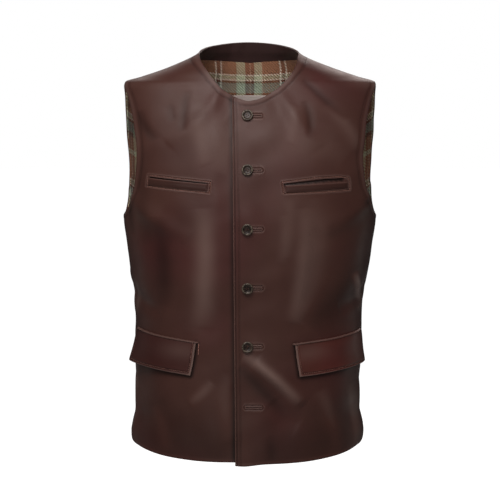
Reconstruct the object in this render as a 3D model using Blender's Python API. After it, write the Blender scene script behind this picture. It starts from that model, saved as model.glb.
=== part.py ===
"""A collarless leather waistcoat, buttoned up and filled out as when it is worn.

Metres, +Z up. The front faces -Y and the wearer's left is +X. The origin is
midway between the middles of the two shoulder seams, where a wearer's
shoulders carry the garment.
"""

from collections import namedtuple

import bmesh
import bpy
import numpy as np
from mathutils import Matrix, Vector

for item in list(bpy.data.objects):
    bpy.data.objects.remove(item, do_unlink=True)

# Walls and the gaps between them
FRONT_WALL = 0.0020
BACK_WALL = 0.0014
LINING_WALL = 0.0010
GAP = 0.0003
LAYER_GAP = 0.0006  # between two layers that lie on each other over a wide area

# Heights of the cut, from the shoulders
ARMPIT = -0.238
TIP = -0.028
NECK_POINT = 0.019
BACK_NECK = 0.033
FRONT_NECK = -0.054
SIDE_HEM = -0.587
BACK_HEM = -0.606
VENT_TOP = -0.542
CHEST_LINE = -0.230  # where the rows of the meshes turn up towards the armhole

# The front opening, measured across from the garment's middle
FRONT_CENTRE = -0.004
Front = namedtuple("Front", "edge_at_neck edge_at_hem hem dip")
LEFT = Front(-0.027, -0.023, -0.6135, 0.0035)
RIGHT = Front(-0.027, -0.027, -0.6110, 0.0)

# The body that the cloth is cut to fit, ring by ring. A ring's front and back are half superellipses, and
# its middle is how far across it lies.
Ring = namedtuple("Ring", "height half_width front back squareness middle")
RINGS = [
    Ring(-0.660, 0.188, 0.130, 0.116, 2.45, -0.004),
    Ring(-0.587, 0.188, 0.128, 0.114, 2.45, -0.004),
    Ring(-0.540, 0.179, 0.126, 0.110, 2.45, -0.004),
    Ring(-0.450, 0.181, 0.124, 0.104, 2.45, -0.003),
    Ring(-0.384, 0.182, 0.125, 0.102, 2.45, -0.002),
    Ring(-0.310, 0.192, 0.130, 0.109, 2.45, -0.001),
    Ring(-0.238, 0.200, 0.132, 0.117, 2.55, 0.000),
    Ring(-0.170, 0.204, 0.124, 0.120, 2.60, 0.000),
    Ring(-0.110, 0.205, 0.108, 0.116, 2.60, 0.000),
    Ring(-0.060, 0.203, 0.089, 0.104, 2.50, 0.000),
    Ring(-0.037, 0.201, 0.080, 0.095, 2.40, 0.000),
    Ring(-0.028, 0.196, 0.076, 0.090, 2.30, 0.000),
    Ring(-0.020, 0.171, 0.073, 0.086, 2.20, 0.000),
    Ring(-0.010, 0.141, 0.070, 0.081, 2.15, 0.000),
    Ring(0.000, 0.115, 0.066, 0.077, 2.10, -0.001),
    Ring(0.010, 0.092, 0.062, 0.073, 2.10, -0.002),
    Ring(0.019, 0.078, 0.058, 0.069, 2.10, -0.002),
    Ring(0.050, 0.070, 0.050, 0.060, 2.10, -0.002),
]

# Soft folds and pulls in the leather: a curve from start past bend to end, each an angle round the body
# and a height, with the fold's half width and how far it stands out or, where negative, falls in.
Fold = namedtuple("Fold", "start bend end width rise")
FOLDS = [
    Fold((5, -0.453), (19, -0.482), (37, -0.521), 0.013, 0.0050),
    Fold((17, -0.515), (24, -0.540), (34, -0.555), 0.016, -0.0025),
    Fold((28, -0.035), (36, -0.085), (45, -0.125), 0.013, 0.0030),
    Fold((70, -0.200), (58, -0.235), (42, -0.250), 0.014, 0.0035),
    Fold((86, -0.340), (72, -0.362), (56, -0.372), 0.013, -0.0035),
    Fold((80, -0.500), (75, -0.550), (72, -0.600), 0.014, 0.0035),
    Fold((-26, -0.030), (-38, -0.085), (-52, -0.120), 0.014, 0.0030),
    Fold((-68, -0.200), (-54, -0.240), (-36, -0.262), 0.014, 0.0040),
    Fold((-86, -0.345), (-70, -0.366), (-54, -0.380), 0.013, -0.0035),
    Fold((-80, -0.490), (-76, -0.545), (-73, -0.600), 0.014, 0.0035),
    Fold((104, -0.190), (122, -0.225), (142, -0.240), 0.016, 0.0040),
    Fold((-104, -0.195), (-124, -0.222), (-145, -0.232), 0.016, 0.0040),
    Fold((98, -0.352), (122, -0.372), (150, -0.366), 0.015, -0.0035),
    Fold((-99, -0.348), (-120, -0.366), (-148, -0.372), 0.015, -0.0035),
    Fold((152, -0.400), (146, -0.480), (150, -0.585), 0.018, 0.0040),
    Fold((-150, -0.405), (-143, -0.490), (-146, -0.590), 0.018, 0.0040),
]
FOLD_STEPS = 8  # straight steps that stand for a fold's curve
ARC = 0.0026  # metres round the body for each degree


def column(name, height):
    """One column of RINGS at any height, on a smooth curve that never overshoots its rows."""
    heights = np.array([ring.height for ring in RINGS])
    values = np.array([getattr(ring, name) for ring in RINGS])
    steps = np.diff(heights)
    rates = np.diff(values) / steps
    product = rates[:-1] * rates[1:]
    total = np.where(product > 0, rates[:-1] + rates[1:], 1.0)
    inner = np.where(product > 0, 2 * product / total, 0.0)
    slopes = np.concatenate([rates[:1], inner, rates[-1:]])
    row = np.clip(np.searchsorted(heights, height) - 1, 0, len(steps) - 1)
    t = (height - heights[row]) / steps[row]
    low = values[row] * (1 + 2 * t) * (1 - t) ** 2 + slopes[row] * steps[row] * t * (1 - t) ** 2
    high = values[row + 1] * t**2 * (3 - 2 * t) + slopes[row + 1] * steps[row] * t**2 * (t - 1)
    return low + high


def relief(angle, height):
    """How far the folds push the cloth out, from the nearest place on each fold's curve."""
    angle = (angle + 180) % 360 - 180
    out = np.zeros(np.broadcast(angle, height).shape)
    for fold in FOLDS:
        ends = np.array([fold.start, fold.bend, fold.end]) * [ARC, 1]
        t = np.linspace(0, 1, FOLD_STEPS + 1)[:, None]
        path = (1 - t) ** 2 * ends[0] + 2 * t * (1 - t) * ends[1] + t**2 * ends[2]
        nearest = np.full(out.shape, np.inf)
        along = np.zeros(out.shape)
        for step, (a, b) in enumerate(zip(path[:-1], path[1:])):
            run = b - a
            away = np.stack([angle * ARC - a[0], height - a[1]], axis=-1)
            share = np.clip((away @ run) / (run @ run), 0, 1)
            gap = np.linalg.norm(away - share[..., None] * run, axis=-1)
            along = np.where(gap < nearest, (step + share) / FOLD_STEPS, along)
            nearest = np.minimum(gap, nearest)
        taper = np.sqrt(np.clip(4 * along * (1 - along), 0, 1))
        out = out + fold.rise * taper * np.exp(-((nearest / fold.width) ** 2))
    return out


def form(angle, height):
    """The garment's outer face at an angle round it, 0 at the front centre and 90 at the wearer's left."""
    turn = np.radians(angle)
    across, ahead = np.sin(turn), np.cos(turn)
    depth = np.where(ahead > 0, column("front", height), column("back", height))
    power = column("squareness", height)
    reach = np.abs(across / column("half_width", height)) ** power + np.abs(ahead / depth) ** power
    reach = reach ** (-1 / power) + relief(angle, height)
    return np.stack([column("middle", height) + across * reach, -ahead * reach, height + 0 * reach], axis=-1)


def place(angle, height, out=0.0):
    """A point at a distance outside the form's face, or inside it where out is negative, and its normal."""
    turn, lift = 0.2, 0.0008
    round_body = form(angle + turn, height) - form(angle - turn, height)
    upwards = form(angle, height + lift) - form(angle, height - lift)
    normal = np.cross(round_body, upwards)
    normal = normal / np.linalg.norm(normal, axis=-1, keepdims=True)
    return form(angle, height) + normal * np.asarray(out)[..., None], normal


def angle_at_side(across, height):
    """The angle of the front's point at a distance across from the middle."""
    power = column("squareness", height)
    across = across - column("middle", height)
    share = np.abs(across / column("half_width", height)) ** power
    ahead = column("front", height) * (1 - share) ** (1 / power)
    return float(np.degrees(np.arctan2(across, ahead)))


def angle_at_depth(ahead, height):
    """The angle, from 0 to 180, of the point on the wearer's left at a distance ahead of the shoulders."""
    power = column("squareness", height)
    depth = column("front" if ahead > 0 else "back", height)
    across = column("half_width", height) * (1 - np.abs(ahead / depth) ** power) ** (1 / power)
    return float(np.degrees(np.arctan2(across, ahead)))


# The outlines of the cut pieces, as (angle, height) at a share of the way along each

ARMHOLE_FRONT, ARMHOLE_BACK = 0.076, 0.048  # how far the armhole reaches ahead of and behind the shoulder
ARMHOLE_SCOOP = 0.30  # how much wider it is low down than high up
ARMHOLE_FULLNESS = 0.85  # below 1, its ends are rounder than an ellipse's
NECK_CENTRE = -0.002  # the front neck's lowest point, across
NECK_POWER = 1.65  # between a V, 1, and an ellipse, 2
VENT_OPEN = (3.0, 1.5)  # degrees that the front's and the back's corner stand off the side seam
HEM_CURVE = 3  # the hem runs level and then rises ever faster towards the side
DIP_AT, DIP_SPREAD = -3, 10  # degrees, where the lap's corner hangs lowest and how wide the dip is


def seam_turn(height):
    """Half the seam's gap, as an angle."""
    return float(np.degrees(GAP / 2 / column("half_width", height)))


def side_seam(share, behind):
    """Up the side from the hem to the armpit, on the front's side of the seam or on the back's."""
    height = SIDE_HEM + (ARMPIT - SIDE_HEM) * share
    open_share = max(0.0, (VENT_TOP - height) / (VENT_TOP - SIDE_HEM))
    opened = seam_turn(height) + VENT_OPEN[behind] * open_share**2
    return 90 + opened if behind else 90 - opened, height


def armhole(share, behind):
    """Up from the armpit to the shoulder's tip."""
    turn = np.pi * share
    height = (ARMPIT + TIP) / 2 - (TIP - ARMPIT) / 2 * np.cos(turn)
    reach = ARMHOLE_BACK if behind else ARMHOLE_FRONT
    ahead = reach * abs(np.sin(turn)) ** ARMHOLE_FULLNESS * (1 + ARMHOLE_SCOOP * np.cos(turn))
    if behind:
        return angle_at_depth(-ahead, height) + seam_turn(height), height
    return angle_at_depth(ahead, height) - seam_turn(height), height


def front_neck(share, front):
    """From the free edge's top round to the neck point."""
    reach = float(column("half_width", NECK_POINT))
    start = -np.arcsin(abs((front.edge_at_neck - NECK_CENTRE) / reach) ** (NECK_POWER / 2))
    turn = start + (np.pi / 2 - start) * share
    across = NECK_CENTRE + np.sign(turn) * reach * np.abs(np.sin(turn)) ** (2 / NECK_POWER)
    height = FRONT_NECK + (NECK_POINT - FRONT_NECK) * (1 - np.cos(turn) ** (2 / NECK_POWER))
    if share > 0.999:
        return 90 - seam_turn(NECK_POINT), NECK_POINT
    return angle_at_side(across, height), height


def back_neck(share):
    """From the middle of the back neck round to the neck point."""
    angle = 180 - (90 - seam_turn(NECK_POINT)) * share
    return angle, NECK_POINT + (BACK_NECK - NECK_POINT) * -np.cos(np.radians(angle))


def front_hem(share, front):
    """From the free edge's foot round to the side."""
    start = angle_at_side(front.edge_at_hem, front.hem)
    end = side_seam(0.0, behind=False)[0]
    angle = start + (end - start) * share
    height = front.hem + (SIDE_HEM - front.hem) * abs(angle / end) ** HEM_CURVE
    return angle, height - front.dip * np.exp(-(((angle - DIP_AT) / DIP_SPREAD) ** 2))


def back_hem(share):
    """From the middle of the back round to the side."""
    end = side_seam(0.0, behind=True)[0]
    height = BACK_HEM + (SIDE_HEM - BACK_HEM) * share**HEM_CURVE
    return 180 + (end - 180) * share, height


def along(rise, stretches):
    """Follows stretches one after another. Each is (rows of the mesh, curve)."""
    row = rise * sum(rows for rows, _ in stretches)
    for rows, curve in stretches:
        if row <= rows + 1e-6:
            return curve(min(1.0, row / rows))
        row -= rows
    return curve(1.0)


def flat_sheet(columns, inner, outer, hem):
    """The piece cut flat, x its way round and y its height, ruled from its inner edge to its outer."""
    sheet = bmesh.new()
    rows = sum(count for count, _ in inner)
    bmesh.ops.create_grid(sheet, x_segments=columns, y_segments=rows, size=0.5)
    foot_in, foot_out = np.array(hem(0.0)), np.array(hem(1.0))
    for vert in sheet.verts:
        share, rise = vert.co.x + 0.5, vert.co.y + 0.5
        point = (1 - share) * np.array(along(rise, inner)) + share * np.array(along(rise, outer))
        bow = np.array(hem(share)) - (1 - share) * foot_in - share * foot_out
        angle, height = point + bow * (1 - rise) ** 3
        vert.co = (angle * ARC, height, 0.0)
    return sheet


def thicken(sheet):
    """Gives the flat sheet a second face, at z = 1."""
    made = bmesh.ops.extrude_face_region(sheet, geom=sheet.faces[:])
    upper = [piece for piece in made["geom"] if isinstance(piece, bmesh.types.BMVert)]
    bmesh.ops.translate(sheet, verts=upper, vec=(0, 0, 1))


def wrap(sheet, inner_face, outer_face):
    """Lays the thick flat sheet round the form, between two distances out from its face."""
    flat = np.array([vert.co for vert in sheet.verts])
    angle, height = flat[:, 0] / ARC, flat[:, 1]
    inside, outside = inner_face(angle, height), outer_face(angle, height)
    points, _ = place(angle, height, inside + (outside - inside) * flat[:, 2])
    for vert, point in zip(sheet.verts, points):
        vert.co = point


def level(distance):
    """The same distance out all over."""
    return lambda angle, height: np.full(np.shape(angle), distance)


# Materials and finished objects

Finish = namedtuple("Finish", "colour roughness metallic")
FINISHES = {
    "leather": Finish((0.060, 0.030, 0.024), 0.42, 0.0),
    "flap_leather": Finish((0.066, 0.031, 0.026), 0.42, 0.0),
    "facing_leather": Finish((0.050, 0.028, 0.028), 0.55, 0.0),
    "checked_wool": Finish((0.180, 0.100, 0.065), 0.90, 0.0),
    "label_cloth": Finish((0.420, 0.370, 0.340), 0.85, 0.0),
    "horn": Finish((0.045, 0.038, 0.028), 0.28, 0.0),
    "thread": Finish((0.120, 0.045, 0.040), 0.80, 0.0),
}


def material(name):
    """The named finish, made once."""
    if name in bpy.data.materials:
        return bpy.data.materials[name]
    finish = FINISHES[name]
    made = bpy.data.materials.new(name)
    made.use_nodes = True
    surface = made.node_tree.nodes["Principled BSDF"]
    surface.inputs["Base Color"].default_value = (*finish.colour, 1.0)
    surface.inputs["Roughness"].default_value = finish.roughness
    surface.inputs["Metallic"].default_value = finish.metallic
    return made


def finish(name, sheet, material_name):
    """Turns a bmesh into a named, smooth-shaded object with its faces outwards."""
    bmesh.ops.recalc_face_normals(sheet, faces=sheet.faces[:])
    if sheet.calc_volume(signed=True) < 0:
        bmesh.ops.reverse_faces(sheet, faces=sheet.faces[:])
    mesh = bpy.data.meshes.new(name)
    sheet.to_mesh(mesh)
    sheet.free()
    mesh.materials.append(material(material_name))
    mesh.shade_smooth()
    mesh.set_sharp_from_angle(angle=np.radians(40))
    made = bpy.data.objects.new(name, mesh)
    bpy.context.scene.collection.objects.link(made)
    return made


# The two fronts. The wearer's left laps over the right, which sinks by a wall to lie under it.

ROWS_BELOW, ROWS_CHEST, ROWS_NECK = 18, 7, 8
FRONT_COLUMNS = 16
SINK_RAMP = 0.030  # how far outside the lap the under front comes back up


def free_edge(front, share, low, high):
    """Up a front's free edge, between two heights."""
    height = low + (high - low) * share
    rise = (height - front.hem) / (FRONT_NECK - front.hem)
    across = front.edge_at_hem + (front.edge_at_neck - front.edge_at_hem) * rise
    return angle_at_side(across, height), height


def front_sheet(front):
    """A front cut flat, laid out for the wearer's left."""
    foot = front_hem(0.0, front)[1]
    corner = front_neck(0.0, front)[1]
    inner = [
        (ROWS_BELOW, lambda share: free_edge(front, share, foot, CHEST_LINE)),
        (ROWS_CHEST, lambda share: free_edge(front, share, CHEST_LINE, corner)),
        (ROWS_NECK, lambda share: front_neck(share, front)),
    ]
    outer = [
        (ROWS_BELOW, lambda share: side_seam(share, behind=False)),
        (ROWS_CHEST + ROWS_NECK, lambda share: armhole(share, behind=False)),
    ]
    return flat_sheet(FRONT_COLUMNS, inner, outer, lambda share: front_hem(share, front))


def sink(angle, height):
    """How far the under front lies in, all under the lap and then less and less beyond the lap's edge."""
    across = form(angle, height)[..., 0]
    beyond = np.clip((LEFT.edge_at_neck - across) / SINK_RAMP, 0, 1)
    bulge = np.maximum(relief(angle, height), 0)
    return (FRONT_WALL + LAYER_GAP + bulge) * (1 - beyond**2 * (3 - 2 * beyond))


left_sheet = front_sheet(LEFT)
thicken(left_sheet)
wrap(left_sheet, level(-FRONT_WALL), level(0.0))
front_left = finish("front_left", left_sheet, "leather")

right_sheet = front_sheet(RIGHT)
thicken(right_sheet)
for vert in right_sheet.verts:
    vert.co.x *= -1
wrap(
    right_sheet,
    lambda angle, height: -FRONT_WALL - sink(angle, height),
    lambda angle, height: -sink(angle, height),
)
finish("front_right", right_sheet, "leather")

# The back, its lining and the neck facing, cut from one layout so that they lie flat on each other. It is
# laid out as a half, with its creases where the pieces end, and mirrored at the middle of the back.

BACK_COLUMNS, BACK_ROWS = 12, (14, 8, 7)
FACING_AT_SIDE, FACING_AT_MIDDLE = 0.011, 0.0005  # heights of the facing's lower edge
LINING_HEM = -0.580
LINING_OUT = -BACK_WALL - LAYER_GAP
LINING_IN = LINING_OUT - LINING_WALL
FACING_EDGE = ((90 * ARC, FACING_AT_SIDE, 0), (FACING_AT_SIDE - FACING_AT_MIDDLE, 90 * ARC, 0))
HEM_EDGE = ((90 * ARC, LINING_HEM, 0), (0, 1, 0))
ON_THE_LINE = 1e-5


def cut_along(sheet, edge, keep="both"):
    """Cuts the flat sheet along a line, given as a point and a normal, and keeps one side of it or both."""
    bmesh.ops.bisect_plane(
        sheet,
        geom=sheet.verts[:] + sheet.edges[:] + sheet.faces[:],
        dist=1e-6,
        plane_co=edge[0],
        plane_no=edge[1],
        clear_outer=keep == "below",
        clear_inner=keep == "above",
    )


def back_layout():
    """Half the back cut flat, from the middle round to the side seam and the armhole."""
    below, beside, at_neck = BACK_ROWS
    inner = [
        (below, lambda share: (180.0, BACK_HEM + (CHEST_LINE - BACK_HEM) * share)),
        (beside, lambda share: (180.0, CHEST_LINE + (BACK_NECK - CHEST_LINE) * share)),
        (at_neck, back_neck),
    ]
    outer = [
        (below, lambda share: side_seam(share, behind=True)),
        (beside + at_neck, lambda share: armhole(share, behind=True)),
    ]
    half = flat_sheet(BACK_COLUMNS, inner, outer, back_hem)
    cut_along(half, FACING_EDGE)
    cut_along(half, HEM_EDGE)
    bmesh.ops.triangulate(half, faces=half.faces[:])
    return half


def whole_of(half):
    """The flat half joined to its mirror image at the middle of the back, and thickened."""
    middle = Matrix.Translation((180 * ARC, 0, 0))
    bmesh.ops.transform(half, matrix=middle.inverted(), verts=half.verts[:])
    bmesh.ops.mirror(half, geom=half.verts[:] + half.edges[:] + half.faces[:], merge_dist=1e-6, axis="X")
    bmesh.ops.transform(half, matrix=middle, verts=half.verts[:])
    thicken(half)
    return half


layout = back_layout()

lining_half = layout.copy()
cut_along(lining_half, FACING_EDGE, keep="below")
cut_along(lining_half, HEM_EDGE, keep="above")
for vert in lining_half.verts:
    above = (vert.co - Vector(FACING_EDGE[0])).dot(Vector(FACING_EDGE[1]).normalized())
    if above > -ON_THE_LINE:
        vert.co.y -= GAP
lining = whole_of(lining_half)
wrap(lining, level(LINING_IN), level(LINING_OUT))
finish("back_lining", lining, "checked_wool")

facing_half = layout.copy()
cut_along(facing_half, FACING_EDGE, keep="above")
facing = whole_of(facing_half)
wrap(facing, level(LINING_IN), level(LINING_OUT))
finish("back_neck_facing", facing, "facing_leather")

back = whole_of(layout)
wrap(back, level(-BACK_WALL), level(0.0))
finish("back", back, "leather")

# A patch is a small piece that lies on a panel, ruled between four corners given as (across, height). They
# are measured across towards its side, 1 on the wearer's left and -1 on the right.

Patch = namedtuple("Patch", "side inner_low inner_high outer_low outer_high")


def patch_sheet(patch, columns, rows, angle_of=angle_at_side):
    """A patch cut flat and thickened."""
    sheet = bmesh.new()
    bmesh.ops.create_grid(sheet, x_segments=columns, y_segments=rows, size=0.5)
    for vert in sheet.verts:
        share, rise = vert.co.x + 0.5, vert.co.y + 0.5
        low = (1 - share) * np.array(patch.inner_low) + share * np.array(patch.outer_low)
        high = (1 - share) * np.array(patch.inner_high) + share * np.array(patch.outer_high)
        across, height = low + (high - low) * rise
        vert.co = (angle_of(patch.side * across, height) * ARC, height, 0.0)
    thicken(sheet)
    return sheet


# The plain label on the lining, its top just above the front neck as seen from ahead

LABEL_HALF_WIDTH, LABEL_TOP, LABEL_HEIGHT = 0.045, -0.0525, 0.060
LABEL_WALL = 0.0006
LABEL_STAND = 0.0009  # off the lining, which curves more than the label
LABEL_COLUMNS, LABEL_ROWS = 6, 4


def behind(across, height):
    """The angle of a point on the back at a distance across."""
    return 180 - float(np.degrees(np.arctan2(across, column("back", height))))


label = Patch(
    side=1,
    inner_low=(LABEL_HALF_WIDTH, LABEL_TOP - LABEL_HEIGHT),
    inner_high=(LABEL_HALF_WIDTH, LABEL_TOP),
    outer_low=(-LABEL_HALF_WIDTH, LABEL_TOP - LABEL_HEIGHT),
    outer_high=(-LABEL_HALF_WIDTH, LABEL_TOP),
)
label_sheet = patch_sheet(label, LABEL_COLUMNS, LABEL_ROWS, behind)
wrap(label_sheet, level(LINING_IN - LABEL_STAND - LABEL_WALL), level(LINING_IN - LABEL_STAND))
finish("label", label_sheet, "label_cloth")

# Chest welts: folded strips that stand up to just below the pocket slot, higher at their outer ends

WELT_WALL = 0.0016
WELT_COLUMNS, WELT_ROWS = 10, 2
WELTS = {
    "welt_chest_right": Patch(-1, (0.0635, -0.1895), (0.0625, -0.1785), (0.1565, -0.1822), (0.1545, -0.1702)),
    "welt_chest_left": Patch(1, (0.0530, -0.1910), (0.0505, -0.1785), (0.1515, -0.1845), (0.1510, -0.1752)),
}

for name, patch in WELTS.items():
    welt = patch_sheet(patch, WELT_COLUMNS, WELT_ROWS)
    wrap(welt, level(GAP), level(GAP + WELT_WALL))
    finish(name, welt, "leather")

# Hip flaps: sewn along the top, hanging free below, and standing off most at the outer low corner

FLAP_WALL = 0.0024
FLAP_COLUMNS, FLAP_ROWS = 11, 5
FLAP_STAND_IN = 0.0015
FLAP_STAND_OUT = {"flap_right": 0.0100, "flap_left": 0.0045}
FLAPS = {
    "flap_right": Patch(-1, (0.0910, -0.4755), (0.0820, -0.4245), (0.1790, -0.4660), (0.1770, -0.4135)),
    "flap_left": Patch(1, (0.0760, -0.4770), (0.0690, -0.4270), (0.1750, -0.4690), (0.1735, -0.4165)),
}


def flap_stand(patch, stand_out):
    """How far the flap stands off the front, from nothing at its sewn top."""

    def stand(angle, height):
        across = patch.side * form(angle, height)[..., 0]
        outwards = np.clip((across - patch.inner_high[0]) / (patch.outer_high[0] - patch.inner_high[0]), 0, 1)
        top = patch.inner_high[1] + (patch.outer_high[1] - patch.inner_high[1]) * outwards
        fall = np.clip((top - height) / (patch.inner_high[1] - patch.inner_low[1]), 0, 1)
        return LAYER_GAP + fall * (FLAP_STAND_IN + (stand_out - FLAP_STAND_IN) * outwards**3)

    return stand


for name, patch in FLAPS.items():
    flap = patch_sheet(patch, FLAP_COLUMNS, FLAP_ROWS)
    stand = flap_stand(patch, FLAP_STAND_OUT[name])
    wrap(flap, stand, lambda angle, height: stand(angle, height) + FLAP_WALL)
    finish(name, flap, "flap_leather")

# Buttons down the front, each on a thread shank that passes through its buttonhole

BUTTON_RADIUS = 0.0088
BUTTON_HEIGHTS = [-0.076, -0.157, -0.246, -0.337, -0.429]
LAST_BUTTONHOLE = -0.524
BUTTONHOLE_LENGTH, BUTTONHOLE_WIDTH = 0.024, 0.0026
BUTTONHOLE_START = -0.0025  # from the button's middle, towards the lap's free edge
BUTTONHOLE_CUT = 0.008  # how deep the cutter reaches, through the wall and past it
SHANK_RADIUS = 0.0010
BUTTON_SIDES, SHANK_SIDES = 18, 10

# Half the button's section, from its underside's middle out over the rim to the dished face
ButtonPoint = namedtuple("ButtonPoint", "radius rise")
BUTTON_SECTION = [
    ButtonPoint(0.0000, 0.0000),
    ButtonPoint(0.0062, 0.0000),
    ButtonPoint(0.0084, 0.0012),
    ButtonPoint(0.0088, 0.0024),
    ButtonPoint(0.0082, 0.0034),
    ButtonPoint(0.0070, 0.0036),
    ButtonPoint(0.0058, 0.0026),
    ButtonPoint(0.0000, 0.0024),
]


def seat(height):
    """Where a button sits: the face's point there, and a matrix with its Z along the normal and X across."""
    point, normal = place(angle_at_side(FRONT_CENTRE, height), height)
    outward = Vector(normal)
    across = Vector((1, 0, 0))
    across = (across - across.dot(outward) * outward).normalized()
    upward = outward.cross(across)
    turned = Matrix((across, upward, outward)).transposed().to_4x4()
    return Matrix.Translation(Vector(point)) @ turned


def turned_button():
    """The button's section spun round its axis."""
    button = bmesh.new()
    verts = [button.verts.new((point.radius, 0, point.rise)) for point in BUTTON_SECTION]
    edges = [button.edges.new(pair) for pair in zip(verts[:-1], verts[1:])]
    bmesh.ops.spin(
        button,
        geom=verts + edges,
        cent=(0, 0, 0),
        axis=(0, 0, 1),
        angle=2 * np.pi,
        steps=BUTTON_SIDES,
        use_merge=True,
    )
    bmesh.ops.remove_doubles(button, verts=button.verts[:], dist=1e-5)
    return button


cutters = bmesh.new()
for height in BUTTON_HEIGHTS + [LAST_BUTTONHOLE]:
    middle = BUTTONHOLE_START + BUTTONHOLE_LENGTH / 2
    size = Matrix.Diagonal((BUTTONHOLE_LENGTH, BUTTONHOLE_WIDTH, BUTTONHOLE_CUT, 1))
    bmesh.ops.create_cube(cutters, size=1, matrix=seat(height) @ Matrix.Translation((middle, 0, 0)) @ size)
buttonholes = finish("buttonhole_cutter", cutters, "thread")
buttonholes.hide_render = True
buttonholes.display_type = "WIRE"
cut = front_left.modifiers.new("buttonholes", "BOOLEAN")
cut.operation = "DIFFERENCE"
cut.object = buttonholes

for number, height in enumerate(BUTTON_HEIGHTS, start=1):
    button = turned_button()
    bmesh.ops.transform(button, matrix=seat(height) @ Matrix.Translation((0, 0, GAP)), verts=button.verts[:])
    finish(f"button_{number}", button, "horn")
    shank = bmesh.new()
    bmesh.ops.create_cone(
        shank,
        cap_ends=True,
        segments=SHANK_SIDES,
        radius1=SHANK_RADIUS,
        radius2=SHANK_RADIUS,
        depth=FRONT_WALL,
        matrix=seat(height) @ Matrix.Translation((0, 0, -FRONT_WALL / 2)),
    )
    finish(f"shank_{number}", shank, "thread")
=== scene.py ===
"""The looks of a collarless leather waistcoat, filled out as it is worn. Metres, +Z up; the front faces -Y and
the wearer's left is +X."""

from collections import namedtuple

import bmesh
import bpy
import numpy as np
from mathutils import Matrix, Vector


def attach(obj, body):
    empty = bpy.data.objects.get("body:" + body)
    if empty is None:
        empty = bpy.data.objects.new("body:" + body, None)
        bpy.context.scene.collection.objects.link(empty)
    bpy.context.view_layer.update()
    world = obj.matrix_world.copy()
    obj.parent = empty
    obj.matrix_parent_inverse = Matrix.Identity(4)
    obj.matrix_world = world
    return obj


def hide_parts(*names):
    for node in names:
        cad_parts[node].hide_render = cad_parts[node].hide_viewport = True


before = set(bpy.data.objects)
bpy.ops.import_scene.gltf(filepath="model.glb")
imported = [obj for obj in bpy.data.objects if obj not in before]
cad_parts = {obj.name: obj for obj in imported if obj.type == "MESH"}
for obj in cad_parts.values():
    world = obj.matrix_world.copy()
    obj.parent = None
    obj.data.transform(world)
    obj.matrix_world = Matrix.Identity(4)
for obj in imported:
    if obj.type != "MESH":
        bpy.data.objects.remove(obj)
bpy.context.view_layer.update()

# The studio. A white room with a pale floor far below, a wide soft light over the chest, a weak one beside the
# camera and two upright strips that catch the edges. The camera looks down a little from the front.

CAMERA_AWAY, CAMERA_TILT, LOOK_AT = 2.6, 8.0, -0.296
FLOOR = -1.25

scene = bpy.context.scene
scene.view_settings.view_transform = "Standard"
camera = bpy.data.objects.new("camera", bpy.data.cameras.new("camera"))
camera.data.lens, camera.data.sensor_width = 117, 36
tilt = np.radians(CAMERA_TILT)
camera.location = (0, -CAMERA_AWAY * np.cos(tilt), LOOK_AT + CAMERA_AWAY * np.sin(tilt))
camera.rotation_euler = (np.pi / 2 - tilt, 0, 0)
scene.collection.objects.link(camera)
scene.camera = camera

WARM, COOL = (1.0, 0.89, 0.85), (0.92, 1.0, 0.94)
Light = namedtuple("Light", "place aim size watts colour")
LIGHTS = {
    "over_chest": Light((-0.3, -1.25, 1.25), (0, 0, -0.05), (1.4, 0.8), 29, WARM),
    "beside_camera": Light((-0.4, -3.0, 0.3), (0, 0, -0.2), (1.2, 0.8), 14, WARM),
    "left_strip": Light((-1.3, 0.35, -0.75), (0, 0, -0.5), (0.05, 0.4), 0.25, COOL),
    "right_strip": Light((1.3, 0.35, -0.75), (0, 0, -0.5), (0.05, 0.4), 0.40, COOL),
    "behind": Light((0.3, 2.6, 1.4), (0, 0, -0.3), (2.0, 1.4), 30, WARM),
}
for name, spot in LIGHTS.items():
    lamp = bpy.data.lights.new(name, "AREA")
    lamp.shape = "RECTANGLE"
    lamp.size, lamp.size_y = spot.size
    lamp.energy = spot.watts
    lamp.color = spot.colour
    light = bpy.data.objects.new(name, lamp)
    light.location = spot.place
    aim = Vector(spot.aim) - Vector(spot.place)
    light.rotation_euler = aim.to_track_quat("-Z", "Y").to_euler()
    scene.collection.objects.link(light)

def feed(tree, made, **settings):
    """Sets a node up: its own settings, and its inputs by name or number from a value or an output."""
    for name, value in settings.items():
        if hasattr(made, name):
            setattr(made, name, value)
            continue
        socket = made.inputs[int(name[1:]) if name[1:].isdigit() else name.replace("_", " ")]
        if isinstance(value, bpy.types.NodeSocket):
            tree.links.new(value, socket)
        else:
            socket.default_value = value


def node(tree, kind, **settings):
    """The outputs of a new node, set up with feed."""
    made = tree.nodes.new("ShaderNode" + kind)
    feed(tree, made, **settings)
    return made.outputs


def new_finish(name):
    """A new material, its node tree and its Principled shader."""
    made = bpy.data.materials.new(name)
    made.use_nodes = True
    return made, made.node_tree, made.node_tree.nodes["Principled BSDF"]


room = bpy.data.worlds.new("room")
room.use_nodes = True
scene.world = room
tree = room.node_tree
felt = tree.nodes["Background"]
feed(tree, felt, Color=(0.95, 0.97, 1, 1), Strength=0.06)
seen = node(tree, "Background", Color=(1, 1, 1, 1))
looked_at = node(tree, "LightPath")["Is Camera Ray"]
shown = node(tree, "MixShader", Fac=looked_at, _1=felt.outputs[0], _2=seen[0])
feed(tree, tree.nodes["World Output"], Surface=shown[0])

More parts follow.
